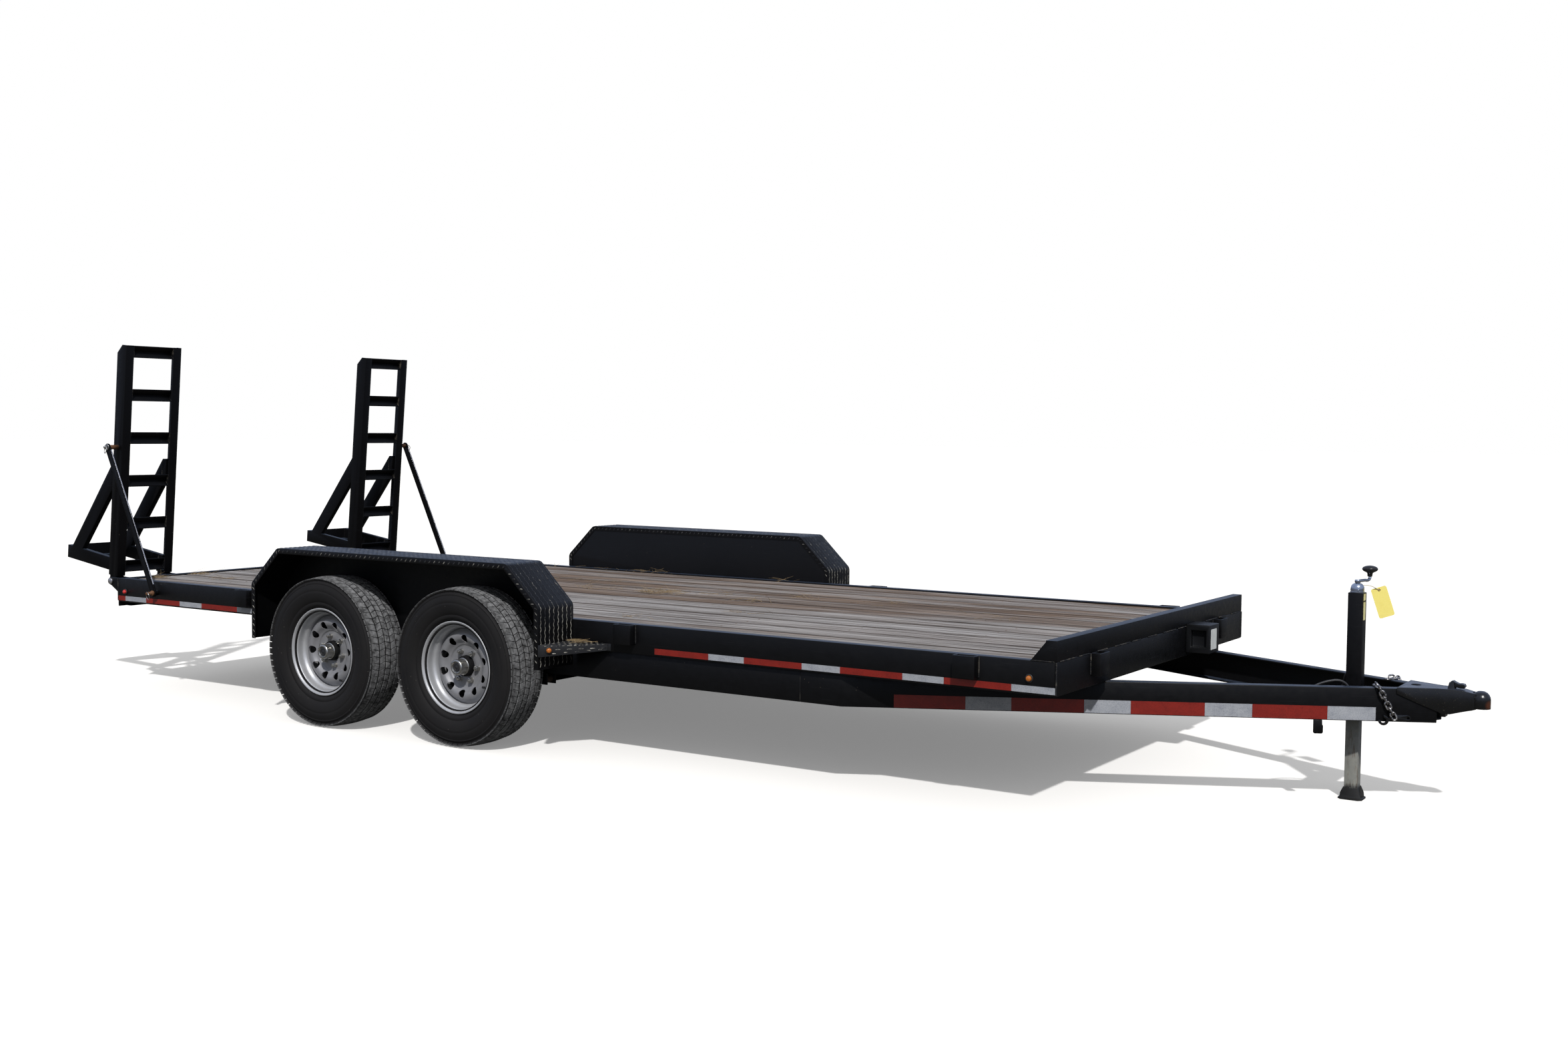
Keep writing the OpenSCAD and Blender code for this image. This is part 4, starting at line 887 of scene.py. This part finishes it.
for k in range(nut_count):
    turn = about("Y", math.tau * k / nut_count) @ moved((nut_circle / 2000, 0, 0))
    nut = bmesh.ops.create_cone(bm, cap_ends=True, segments=6, radius1=0.0121, radius2=0.0121, depth=0.016)["verts"]
    rounded = [e for e in {e for v in nut for e in v.link_edges}
               if (e.verts[0].co.z > 0) == (e.verts[1].co.z > 0) and e.verts[0].co.z > 0]
    bevelled(bm, rounded, 0.0014, 2)
    nut = list({v for v in bm.verts if v.co.z > -0.01 and abs(v.co.x) < 0.02 and abs(v.co.y) < 0.02})
    carry(bm, nut, turn @ moved((0, 0.024, 0)) @ about("X", -math.pi / 2))
    stud = turned(bm, mm([(0, 31.5), (6.8, 31.5), (8.2, 30), (6.6, 37.2), (5.6, 38.6), (0, 38.8)]), 16)
    seat = turned(bm, mm([(9.5, 13.8), (13.5, 13.8), (12.5, 16.5), (9.5, 17.5)]), 24, closed=True)
    carry(bm, stud + seat, turn)
nuts_mesh = as_mesh(bm, "wheel_nuts_form", 35)
valve_mesh = lathed("valve_stem_form", [(0, 0), (7.5, 0), (7.8, 4), (5.8, 7), (5.2, 22), (4, 23.5), (4, 24.5),
                                        (5.2, 25.5), (5.2, 34), (4.4, 35.2), (0, 35.4)], 16, closed=False)
for hub, (side, spot) in hubs.items():
    # the stem's place on the rim differs from wheel to wheel, since each was fitted as it came
    valve_at = (about("Y", math.radians(26 if hub.startswith("front") else 38)) @ moved((0.1735, 0.028, 0))
                @ about("Z", math.radians(28)))
    for form, paint_used, slot, what in (
            (rim_mesh, silver_paint, "wheel_silver", "rim"), (disc_mesh, dull_paint, "wheel_silver", "disc"),
            (drum_mesh, drum_paint, "wheel_silver", "drum"), (cap_mesh, zinc_nut, "zinc_steel", "oil_cap"),
            (plug_mesh, stem_rubber, "black_plastic", "cap_plug"), (nuts_mesh, zinc_nut, "zinc_steel", "nuts"),
            (valve_mesh, stem_rubber, "black_plastic", "valve")):
        bm = bmesh.new()
        strew(bm, form, [spot @ valve_at if what == "valve" else spot])
        handed(bm, side)
        made = piece(f"wheel_{what}_{hub}", bm, paint_used, "wheelset_" + hub)
        if what == "rim":
            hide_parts("wheel_" + hub)


# Running gear. Drop axles of round tube with spindles, double-leaf slipper springs of dark spring steel and
# their eyes, all under the main beams and grimy with road film.
spring_steel = mottled("oiled_spring_steel_with_road_film", "1c1a19", "4a3a2e", 30, 6, roughness=0.62,
                       metallic=0.35, grain=0.7)
softened("axles", 1.5, black_enamel)
softened("leaf_springs", 1.0, spring_steel)


# Ramps. Two stand-up ramps of angle-iron side members and rungs with a triangular foot, welded and
# sprayed black; sheared corners and welds show.
scraped_steel = mottled("bare_scraped_steel_edge", "6f6c6a", "e0dee0", 90, 5, roughness=0.38, metallic=0.85,
                        grain=0.7)
rusted_pin = mottled("rusted_cold_drawn_pin", "3f2717", "8a6244", 140, 6, roughness=0.7, metallic=0.3, grain=0.7)
# the ramps carry a thinner, duller spray coat than the frame and show less of the sky
ramp_enamel = black_enamel.copy()
ramp_enamel.name = "dull_black_sprayed_enamel_on_ramp_steel"
ramp_enamel.node_tree.nodes["Principled BSDF"].inputs["Specular IOR Level"].default_value = 0.09
ramp_turn = about("Y", math.radians(5))
hinge_x, hinge_z = -5590, 566
hinge = at(hinge_x, 0, hinge_z)


def small_ring(bm):
    """A wire ring of 41 mm about the Y axis."""
    return turned(bm, [(0.0205 + 0.0021 * math.cos(a), 0.0021 * math.sin(a)) for a in
                       (math.tau * k / 8 for k in range(8))], 28, closed=True)


for side, name in ((-1, "right"), (1, "left")):
    body = f"ramp_{name}_body"
    for node, width in (("ramp_", 1.6), ("ramp_rungs_", 0.9), ("ramp_stand_", 1.6), ("strut_", 0.8)):
        softened(node + name, width, ramp_enamel)

    def on_ramp(x, y, z):
        """A place on the raised ramp: x ahead of the hinge axis, y from the middle, z along the ramp."""
        return hinge + ramp_turn.to_3x3() @ Vector((x / 1000, side * y / 1000, z / 1000))

    bm = bmesh.new()
    for k in range(6):
        z = 50 + k * (1290 - 50 - 66) / 5
        # a small gusset closes the angle's open end against each side member
        for y in (728.8, 977.2):
            gusset = block(bm, scaled(0.0464, 0.0016, 0.0464))
            bmesh.ops.rotate(bm, verts=gusset, cent=(0, 0, 0), matrix=Matrix.Rotation(math.pi / 4, 3, "Y"))
            flat = {e for v in gusset for e in v.link_edges} | {f for v in gusset for f in v.link_faces}
            bmesh.ops.bisect_plane(bm, geom=gusset + list(flat), plane_co=(0, 0, 0), plane_no=(1, 0, 0),
                                   clear_outer=True)
            loose = [v for v in bm.verts if v.co.length < 0.04 and abs(v.co.y) < 0.001]
            bmesh.ops.contextual_create(bm, geom=[e for e in bm.edges if e.is_boundary and
                                                  e.verts[0] in loose and e.verts[1] in loose])
            carry(bm, loose, moved(on_ramp(37.4, y, z + 33)) @ ramp_turn)
        for y in (729.5, 976.5):
            weld(bm, on_ramp(37, y, z + 4), on_ramp(4, y, z + 33), 5)
            weld(bm, on_ramp(4, y, z + 33), on_ramp(37, y, z + 62), 5)
    for y in (714, 992):
        weld(bm, on_ramp(-38, y, 60), on_ramp(-38, y, 118), 5)
        weld(bm, on_ramp(-38, y, 520), on_ramp(-38, y, 655), 5)
        weld(bm, on_ramp(-420, y, 84), on_ramp(-420, y, 142), 5)
    piece("ramp_welds_" + name, bm, weld_paint, body)

    # the stud at the top of the strut is rusted bar, held by a washer and a plated lynch pin with its ring
    bm = bmesh.new()
    turned(bm, [(0, 0), (0.0121, 0), (0.0121, 0.056), (0.0103, 0.0575), (0.0, 0.0575)], 28)
    carry(bm, bm.verts, moved(on_ramp(0, 1028.3, 735)) @ scaled(1, side, 1))
    handed(bm, side)
    piece("strut_stud_" + name, bm, rusted_pin, body)
    bm = bmesh.new()
    turned(bm, [(0.0082, 0.0672), (0.0165, 0.0672), (0.017, 0.0680), (0.0165, 0.0698), (0.0082, 0.0698)], 28,
           closed=True)
    turned(bm, [(0, 0.0701), (0.0079, 0.0701), (0.0079, 0.0836), (0.0064, 0.0852), (0, 0.0853)], 24)
    # ring of the lynch pin, folded down over the stud
    carry(bm, small_ring(bm), moved((0.001, 0.0775, -0.0125)) @ about("Z", 0.35) @ about("X", 0.16))
    carry(bm, bm.verts, moved(on_ramp(0, 1028.3, 735)) @ scaled(1, side, 1))
    handed(bm, side)
    piece("strut_lynch_pin_" + name, bm, zinc_nut, body)

    # lower end: a rusted draw pin through the flat bar, its ring hanging outboard
    low = at(-5150, side * 1094.2, 530)
    bm = bmesh.new()
    turned(bm, [(0, 0.0), (0.0128, 0.0), (0.0138, 0.001), (0.0138, 0.0095), (0.0124, 0.0105), (0.0079, 0.0106),
                (0.0079, 0.040), (0.0064, 0.042), (0, 0.0421)], 28)
    carry(bm, bm.verts, moved(low) @ scaled(1, side, 1))
    handed(bm, side)
    piece("strut_draw_pin_" + name, bm, rusted_pin, f"strut_{name}_body")
    bm = bmesh.new()
    carry(bm, small_ring(bm), moved(low + Vector((0.002, side * 0.034, -0.013)))
          @ about("Z", 0.3 * side) @ about("X", 0.2))
    piece("strut_pin_ring_" + name, bm, zinc_nut, f"strut_{name}_body")

    # the front edge of the flat bar is rubbed to bright steel where it swings against the ramp
    top, foot = on_ramp(0, 1086, 735), at(-5150, side * 1086, 530)
    run = foot - top
    down = run.normalized()
    bm = bmesh.new()
    turn = Matrix((down, Vector((0, 1, 0)), down.cross(Vector((0, 1, 0))))).transposed().to_4x4()
    for start, end, wide in ((0.03, 0.30, 0.0062), (0.302, 0.47, 0.0066), (0.475, 0.66, 0.0038), (0.665, 0.95, 0.0064)):
        centre = top + run * (start + end) / 2 + Vector((-down.z, 0, down.x)).normalized() * 0.0198
        carry(bm, block(bm), moved(centre + Vector((0, side * 0.0041, 0))) @ turn
              @ scaled(run.length * (end - start), wide, 0.0008))
    bevelled(bm, bm.edges[:], 0.0003, 1)
    piece("strut_rubbed_edge_" + name, bm, scraped_steel, f"strut_{name}_body")
    # heads of the hinge pins, hammered bright
    bm = bmesh.new()
    for y in (664, 742, 964, 1042):
        head = turned(bm, mm([(0, -4.5), (16.2, -4.5), (17.2, -3.5), (17.2, 2.5), (15.5, 4.2), (0, 4.5)]), 28)
        carry(bm, head, moved(at(hinge_x, side * y, hinge_z)))
    bmesh.ops.recalc_face_normals(bm, faces=bm.faces)
    piece("hinge_pin_heads_" + name, bm, scraped_steel)


# Jack. A square-tube drop-leg jack welded into the crossbar: black enamelled sleeve, zinc-plated inner leg
# with rust runs and a foot pad dark with earth, plated bevel-gear cap and a crank with a black knob.
galvanised, tree, shader, place = new_finish("zinc_plated_tube_with_rust_runs", {"Metallic": 0.2})
runs = noise(tree, stretched_by(tree, place, (38, 38, 7)), 1.0, 6, 0.7)
coat = mix(tree, noise(tree, place, 48, 5, 0.6), "6e706f", "929289")
coat = mix(tree, span(tree, runs, 0.55, 0.66, 0.0, 0.8), coat, "5b4632")
# earth rises from the foot
clean = maths(tree, "SUBTRACT", axis_of(tree, place, "Z"), maths(tree, "MULTIPLY", runs, 0.06))
feed(shader, "Base Color", mix(tree, span(tree, clean, 0.012, 0.03, 0.96, 0.0), coat, "0d0b0a"))
feed(shader, "Roughness", span(tree, runs, 0, 1, 0.35, 0.75))
emboss(shader, runs, 0.3, 0.001)
softened("jack_leg", 1.6, galvanised)
bright_zinc = mottled("bright_zinc_plated_pressing", "c6ccd6", "8f97a6", 70, 4, roughness=(0.16, 0.34), metallic=1.0)
head_z = 0.81
bm = bmesh.new()
turned(bm, [(0, 0), (0.0262, 0), (0.0268, 0.0006), (0.0268, 0.0042), (0.0256, 0.0052), (0.0256, 0.0148),
            (0.0248, 0.0212), (0.0228, 0.0265), (0.019, 0.0315), (0.0138, 0.0348), (0.0075, 0.0365), (0, 0.037)], 48,
       axis=(0, 0, 1))
for k in range(3):
    rivet = bmesh.ops.create_uvsphere(bm, u_segments=12, v_segments=7, radius=0.0034)["verts"]
    carry(bm, rivet, about("Z", math.tau * k / 3 - 1.2) @ moved((0.0256, 0, 0.0105)))
carry(bm, bm.verts, moved((jack_x, 0, head_z)))
smooth(bm)
cap = piece("jack_gear_cap", bm, bright_zinc)
cap.data.set_sharp_from_angle(angle=math.radians(38))
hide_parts("jack_head")
knob_plastic = mottled("black_phenolic_knob", "0c0c0d", "2b2b2d", 55, 4, roughness=0.38, specular=0.4)
# crank arm: one bent zinc bar; a bezier curve swept round, then made a mesh with the hub; the knob is a piece of its
# own
bm = bmesh.new()
turned(bm, [(0, 0.0374), (0.0106, 0.0374), (0.0112, 0.0382), (0.0112, 0.0476), (0.0102, 0.0492), (0, 0.0494)], 32,
       axis=(0, 0, 1))
bend = bpy.data.curves.new("crank_arm_line", "CURVE")
bend.dimensions = "3D"
bend.bevel_depth = 0.006
bend.bevel_resolution = 4
bend.use_fill_caps = True
spline = bend.splines.new("BEZIER")
spline.bezier_points.add(4)
for knot, spot in zip(spline.bezier_points, ((0, 0, 0.044), (0.012, 0.0535, 0.044), (0.0205, 0.0905, 0.0445),
                                             (0.022, 0.0976, 0.0505), (0.022, 0.098, 0.062))):
    knot.co = spot
    knot.handle_left_type = knot.handle_right_type = "AUTO"
arm = bpy.data.objects.new("crank_arm_line", bend)
scene.collection.objects.link(arm)
bm.from_mesh(evaluated(arm))
smooth(bm)
carry(bm, bm.verts, moved((jack_x, 0, head_z)))
crank = piece("jack_crank_arm", bm, bright_zinc, "crank_body")
crank.data.set_sharp_from_angle(angle=math.radians(38))
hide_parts("jack_crank")
bm = bmesh.new()
turned(bm, [(0, 0.0562), (0.0088, 0.0562), (0.0094, 0.0572), (0.0098, 0.064), (0.0108, 0.0695), (0.0146, 0.0725),
            (0.021, 0.0752), (0.0268, 0.0790), (0.0298, 0.0840), (0.0296, 0.0880), (0.0262, 0.0928),
            (0.0196, 0.0962), (0.0116, 0.0984), (0.005, 0.0994), (0, 0.0996)], 40, axis=(0, 0, 1))
# eight shallow flutes round the rim for the hand
for v in bm.verts:
    r = math.hypot(v.co.x, v.co.y)
    if r > 0.018 and v.co.z > 0.074:
        dip = 1 - 0.045 * max(0.0, math.cos(8 * math.atan2(v.co.y, v.co.x))) ** 2
        v.co.x, v.co.y = v.co.x * dip, v.co.y * dip
carry(bm, bm.verts, moved((jack_x + 0.022, 0.098, head_z)))
piece("jack_knob", bm, knob_plastic, "crank_body")


# Tag. A strip of yellow tag card with clipped corners and a brass eyelet, hung from the jack by cotton cord,
# and a plain yellow label on the front of the sleeve with a dark band. Both are left bare.
card, tree, shader, place = new_finish("yellow_manila_tag_card", {"Roughness": 0.75, "Specular IOR Level": 0.2})
stain = span(tree, noise(tree, place, 28, 3), 0.55, 0.8, 0.0, 0.3)
feed(shader, "Base Color", mix(tree, stain, mix(tree, noise(tree, place, 420, 5), "f5e470", "fff49c"), "e4cf6c"))
label_film = mottled("faded_yellow_vinyl_label", "dcd68f", "f0ecc0", 60, 5, roughness=0.5)
dark_film = mottled("black_vinyl_label_band", "0b0b0c", "232220", 60, 5, roughness=0.5)


def sheet_of(bm, wide, tall, thick, matrix, corner=0.0):
    """A thin plate wide by tall in the XZ plane from the origin, its corners rounded, moved by the matrix."""
    made = block(bm, moved((wide / 2, thick / 2, tall / 2)) @ scaled(wide, thick, tall))
    if corner:
        ends = {e for v in made for e in v.link_edges
                if abs(e.verts[0].co.x - e.verts[1].co.x) + abs(e.verts[0].co.z - e.verts[1].co.z) < 1e-6}
        rounded = bevelled(bm, list(ends), corner, 3)
        made = list({v for v in made if v.is_valid} | {v for f in rounded["faces"] for v in f.verts})
    carry(bm, made, matrix)


bm = bmesh.new()
tag_low, tag_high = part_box("jack_tag")
tag_wide, tag_tall, tag_thick = 0.060, 0.120, 0.001
tag_place = (moved((tag_low + tag_high) / 2 + Vector((0.016, 0, 0.003))) @ about("Z", math.radians(24))
             @ about("Y", math.radians(-18)) @ moved((-tag_wide / 2, -tag_thick / 2, -tag_tall / 2)))
sheet_of(bm, tag_wide, tag_tall, tag_thick, tag_place, corner=0.007)
tag = piece("jack_tag_card", bm, card)
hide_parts("jack_tag")
bm = bmesh.new()
eyelet = turned(bm, [(0.0026, -0.0008), (0.0052, -0.0008), (0.0056, 0.0002), (0.0052, 0.0018), (0.0026, 0.0018)], 20,
                closed=True)
carry(bm, eyelet, tag_place @ moved((tag_wide / 2, 0, 0.11)))
piece("tag_eyelet", bm, rusted_pin)
bm = bmesh.new()
sheet_of(bm, 0.030, 0.103, 0.0004, moved((jack_x + 0.0287, -0.016, 0.703)) @ about("Z", math.pi / 2), corner=0.002)
piece("jack_label", bm, label_film)
bm = bmesh.new()
sheet_of(bm, 0.031, 0.006, 0.0005, moved((jack_x + 0.0289, -0.0165, 0.774)) @ about("Z", math.pi / 2))
piece("jack_label_band", bm, dark_film)
cotton = mottled("twisted_cotton_tag_cord", "a79f86", "e6dfc8", 700, 2, roughness=0.85)
bm = bmesh.new()
knot_at, hole_at = Vector((jack_x + 0.0165, 0.012, 0.838)), tag_place @ Vector((tag_wide / 2, 0.0005, 0.110))
steps = 9
for apart in (-0.0016, 0.0016):
    way = [knot_at.lerp(hole_at, k / steps) + Vector((0, apart, 0.006)) * math.sin(math.pi * k / steps)
           for k in range(steps + 1)]
    for a, b in zip(way, way[1:]):
        along_cord = Vector((0, 0, 1)).rotation_difference(b - a).to_matrix().to_4x4()
        bmesh.ops.create_cone(bm, cap_ends=True, segments=8, radius1=0.0013, radius2=0.0013,
                              depth=(b - a).length * 1.1, matrix=moved((a + b) / 2) @ along_cord)
piece("tag_cord", bm, cotton)


# Coupler. A pressed and welded A-frame coupler for a 2-inch ball, with a cast nose. Its enamel is dusty,
# chipped along the folds and worn to rust on the tip of the nose; the finger latch on top has the same enamel.
coupler_enamel, tree, shader, place = new_finish(
    "chipped_black_enamel_on_pressed_coupler", {"Specular IOR Level": 0.5})
grit = noise(tree, place, 190, 6, 0.75)
patchy = noise(tree, place, 24, 4)
speck = maths(tree, "MULTIPLY", span(tree, grit, 0.64, 0.72), patchy)
coat = mix(tree, speck, mix(tree, grit, "060607", "121213"), "a19a84")
# painted reflection of the sky: faces that look up turn a light bluish grey
coat = mix(tree, span(tree, facing_up(tree), 0.7, 1.0, 0.0, 0.3), coat, "4d5468")
nose = combined(tree, "DISTANCE", place, tuple(at(1286, -16, 416)), "Value")
feed(shader, "Base Color", mix(tree, span(tree, nose, 0.008, 0.021, 0.9, 0.0), coat,
                               mix(tree, grit, "2c150c", "6b3a24")))
feed(shader, "Roughness", span(tree, patchy, 0, 1, 0.16, 0.4))
emboss(shader, grit, 0.14, 0.0006)
softened("coupler", 0.9, coupler_enamel)
softened("coupler_latch", 2.2, coupler_enamel, segments=3)
softened("chain_hooks", 1.6, coupler_enamel)


# Safety chains. Welded zinc-plated chain over each tongue rail, its hook lying on the rail; each link is a
# round bar bent to a stadium loop.
chain_zinc, tree, shader, place = new_finish("zinc_plated_welded_chain", {"Metallic": 0.95})
wear = noise(tree, place, 150, 5, 0.7)
feed(shader, "Base Color", graded(tree, wear, ((0.4, "1f1b19"), (0.62, "d6d2ce"))))
feed(shader, "Roughness", span(tree, wear, 0, 1, 0.5, 0.25))
link_long, link_wide, link_wire = 0.0385, 0.0255, 0.0076
bm = bmesh.new()
# half a torus at each end, drawn apart, with straight sides between them
turned(bm, [((link_wide - link_wire) / 2 + link_wire / 2 * math.cos(a), link_wire / 2 * math.sin(a)) for a in
            (math.tau * k / 10 for k in range(10))], 24, closed=True)
for v in bm.verts:
    if abs(v.co.z) > 1e-4:
        v.co.z += math.copysign((link_long - link_wide) / 2, v.co.z)
bmesh.ops.recalc_face_normals(bm, faces=bm.faces)
smooth(bm)
link_mesh = as_mesh(bm, "chain_link_form")
# the tongue rails start at tongue_back and close in by tongue_angle
tongue_back, tongue_half, tongue_angle = -919, 1050, math.radians(26.4)
chain_x = 911.63
chain_out = (tongue_half - (911.6 - tongue_back) * math.tan(tongue_angle)) / 1000
link_pitch = link_long - 2 * link_wire - 0.0006
bm = bmesh.new()
for side in (-1, 1):
    spot = (scaled(1, side, 1) @ moved((deck_front + chain_x / 1000, chain_out, tongue_top / 1000))
            @ about("Z", -tongue_angle))
    gap = link_wide / 2 + 0.001
    first_y = gap - link_long / 2 + link_wire / 2
    strew(bm, link_mesh, [spot @ moved((0, first_y, link_wire / 2 + 0.0002)) @ about("X", math.pi / 2)])
    drop = spot @ moved((0, gap, link_wire / 2 + 0.0002)) @ about("Y", math.radians(-27))
    for k in range(6):
        z = -link_long / 2 + link_wire / 2 + link_wire + 0.0003 - k * link_pitch
        strew(bm, link_mesh, [drop @ moved((0, 0, z)) @ about("Z", math.radians(90 if k % 2 == 0 else 0))])
    # two slack links lying on the top of the rail, towards the middle
    for k, lift, tilt in ((0, 0.0056, 62), (1, 0.0004, 0)):
        strew(bm, link_mesh, [spot @ moved((0.002 * k, first_y - (k + 1) * link_pitch, link_wire / 2 + lift))
                              @ about("Y", math.radians(tilt)) @ about("X", math.pi / 2)])
bmesh.ops.recalc_face_normals(bm, faces=bm.faces)
chains = piece("safety_chain_links", bm, chain_zinc)
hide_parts("safety_chains")


# Battery case. Black moulded polypropylene with a ribbed lid and a recessed near side, bolted to the front
# header; its front carries a white label, left bare.
moulded_case, tree, shader, place = new_finish(
    "black_moulded_polypropylene", {"Specular IOR Level": 0.3, "Roughness": 0.46})
feed(shader, "Base Color", mix(tree, noise(tree, place, 14, 4), "08090a", "151619"))
emboss(shader, noise(tree, place, 320, 4), 0.2, 0.0005)
softened("battery_box", 3.0, moulded_case, segments=3)
label_paper = mottled("white_printed_film_left_bare", "b9c0c2", "e9edee", 40, 5, roughness=0.55)
bm = bmesh.new()
sheet_of(bm, 0.074, 0.088, 0.0004, moved(at(105.3, 320, 494)) @ about("Z", math.pi / 2) @ scaled(1, -1, 1),
         corner=0.003)
bmesh.ops.recalc_face_normals(bm, faces=bm.faces)
piece("battery_label", bm, label_paper)


# Conspicuity tape. Prismatic sheeting in 280 mm red and 178 mm white runs: 25 mm wide on the side rails,
# 51 mm wide on the tongue. A fine cell lattice shows in it. No words are on it.
red_run, white_run, rail_tape, tongue_tape = 279.4, 177.8, 25.4, 50.8
tapes = {}
for colour, pale, dark in (("red", "8c2117", "6f170f"), ("white", "aeb2ba", "888d98")):
    tapes[colour], tree, shader, place = new_finish(colour + "_prismatic_reflective_tape", {"Roughness": 0.4})
    cell = maths(tree, "MULTIPLY", cell_distance(tree, place, 260), 0.45)
    film = maths(tree, "ADD", cell, noise(tree, place, 18, 6, 0.7))
    feed(shader, "Base Color", mix(tree, span(tree, film, 0.45, 1.0), pale, dark))
strips = {colour: bmesh.new() for colour in tapes}


def tape_run(start, way, out, colours, tall, low):
    """Lays a run of tape on a vertical face: start in mm, unit way along it, unit out of it, run lengths by colour."""
    spot = 0.0
    turn = Matrix((Vector(way), Vector(out), Vector((0, 0, 1)))).transposed().to_4x4()
    for colour, length in colours:
        bm = strips[colour]
        matrix = moved(at(*start) + Vector(way) * spot / 1000) @ turn
        matrix.translation.z = low / 1000
        sheet_of(bm, (length - 0.4) / 1000, tall / 1000, 0.0005, matrix)
        spot += length


for side in (-1, 1):
    out = (0, side, 0)
    edge = side * (rail_face + 0.1)
    # front run ends at the front corner; rear run starts at the rear end with the end of a red panel
    pair = (("red", red_run), ("white", white_run))
    tape_run((-1829, edge, 0), (1, 0, 0), out, pair * 4, rail_tape, 470.5)
    tape_run((-5484, edge, 0), (1, 0, 0), out, (("red", 62), ("white", white_run), *pair * 3, ("red", 217)),
             rail_tape, 470.5)
    x0 = -733
    y0 = tongue_half - (x0 - tongue_back) * math.tan(tongue_angle)
    tape_run((x0 + 0.05, side * (y0 + 0.1), 0), (math.cos(tongue_angle), -side * math.sin(tongue_angle), 0),
             (math.sin(tongue_angle), side * math.cos(tongue_angle), 0), pair * 4, tongue_tape, 339)
for colour, bm in strips.items():
    bmesh.ops.recalc_face_normals(bm, faces=bm.faces)
    piece(colour + "_tape", bm, tapes[colour])


# Clearance lamps. Moulded polycarbonate bullet lenses, 22 mm across, pushed into rubber grommets: amber at
# the front corners and on the steps, red at the rear.
for colour, dark, light in (("amber", "a04e12", "c47a30"), ("red", "b3161a", "e0403a")):
    lens, tree, shader, place = new_finish(colour + "_moulded_polycarbonate_lens", {
        "Roughness": 0.16, "Coat Weight": 0.6, "Coat Roughness": 0.05})
    prism = cell_distance(tree, place, 420)
    feed(shader, "Base Color", mix(tree, prism, dark, light))
    emboss(shader, prism, 0.35, 0.0008)
    softened(colour + "_lamps", 0, lens)
bm = bmesh.new()
slant = math.atan2(228, 187)
for side in (-1, 1):
    for x, y, z, turn in ((-107, rail_face, 523, 0.0), (-5422, rail_face, 519, 0.0),
                          (-2267 + 24, 1296 - 24 * math.tan(slant), 476, -slant)):
        ring = turned(bm, [(0.0113, 0.0003), (0.0158, 0.0003), (0.0166, 0.0014), (0.0158, 0.0034), (0.0128, 0.0046),
                           (0.0113, 0.004)], 32, closed=True)
        carry(bm, ring, scaled(1, side, 1) @ moved(at(x, y, z)) @ about("Z", turn))
bmesh.ops.recalc_face_normals(bm, faces=bm.faces)
piece("lamp_grommets", bm, stem_rubber)
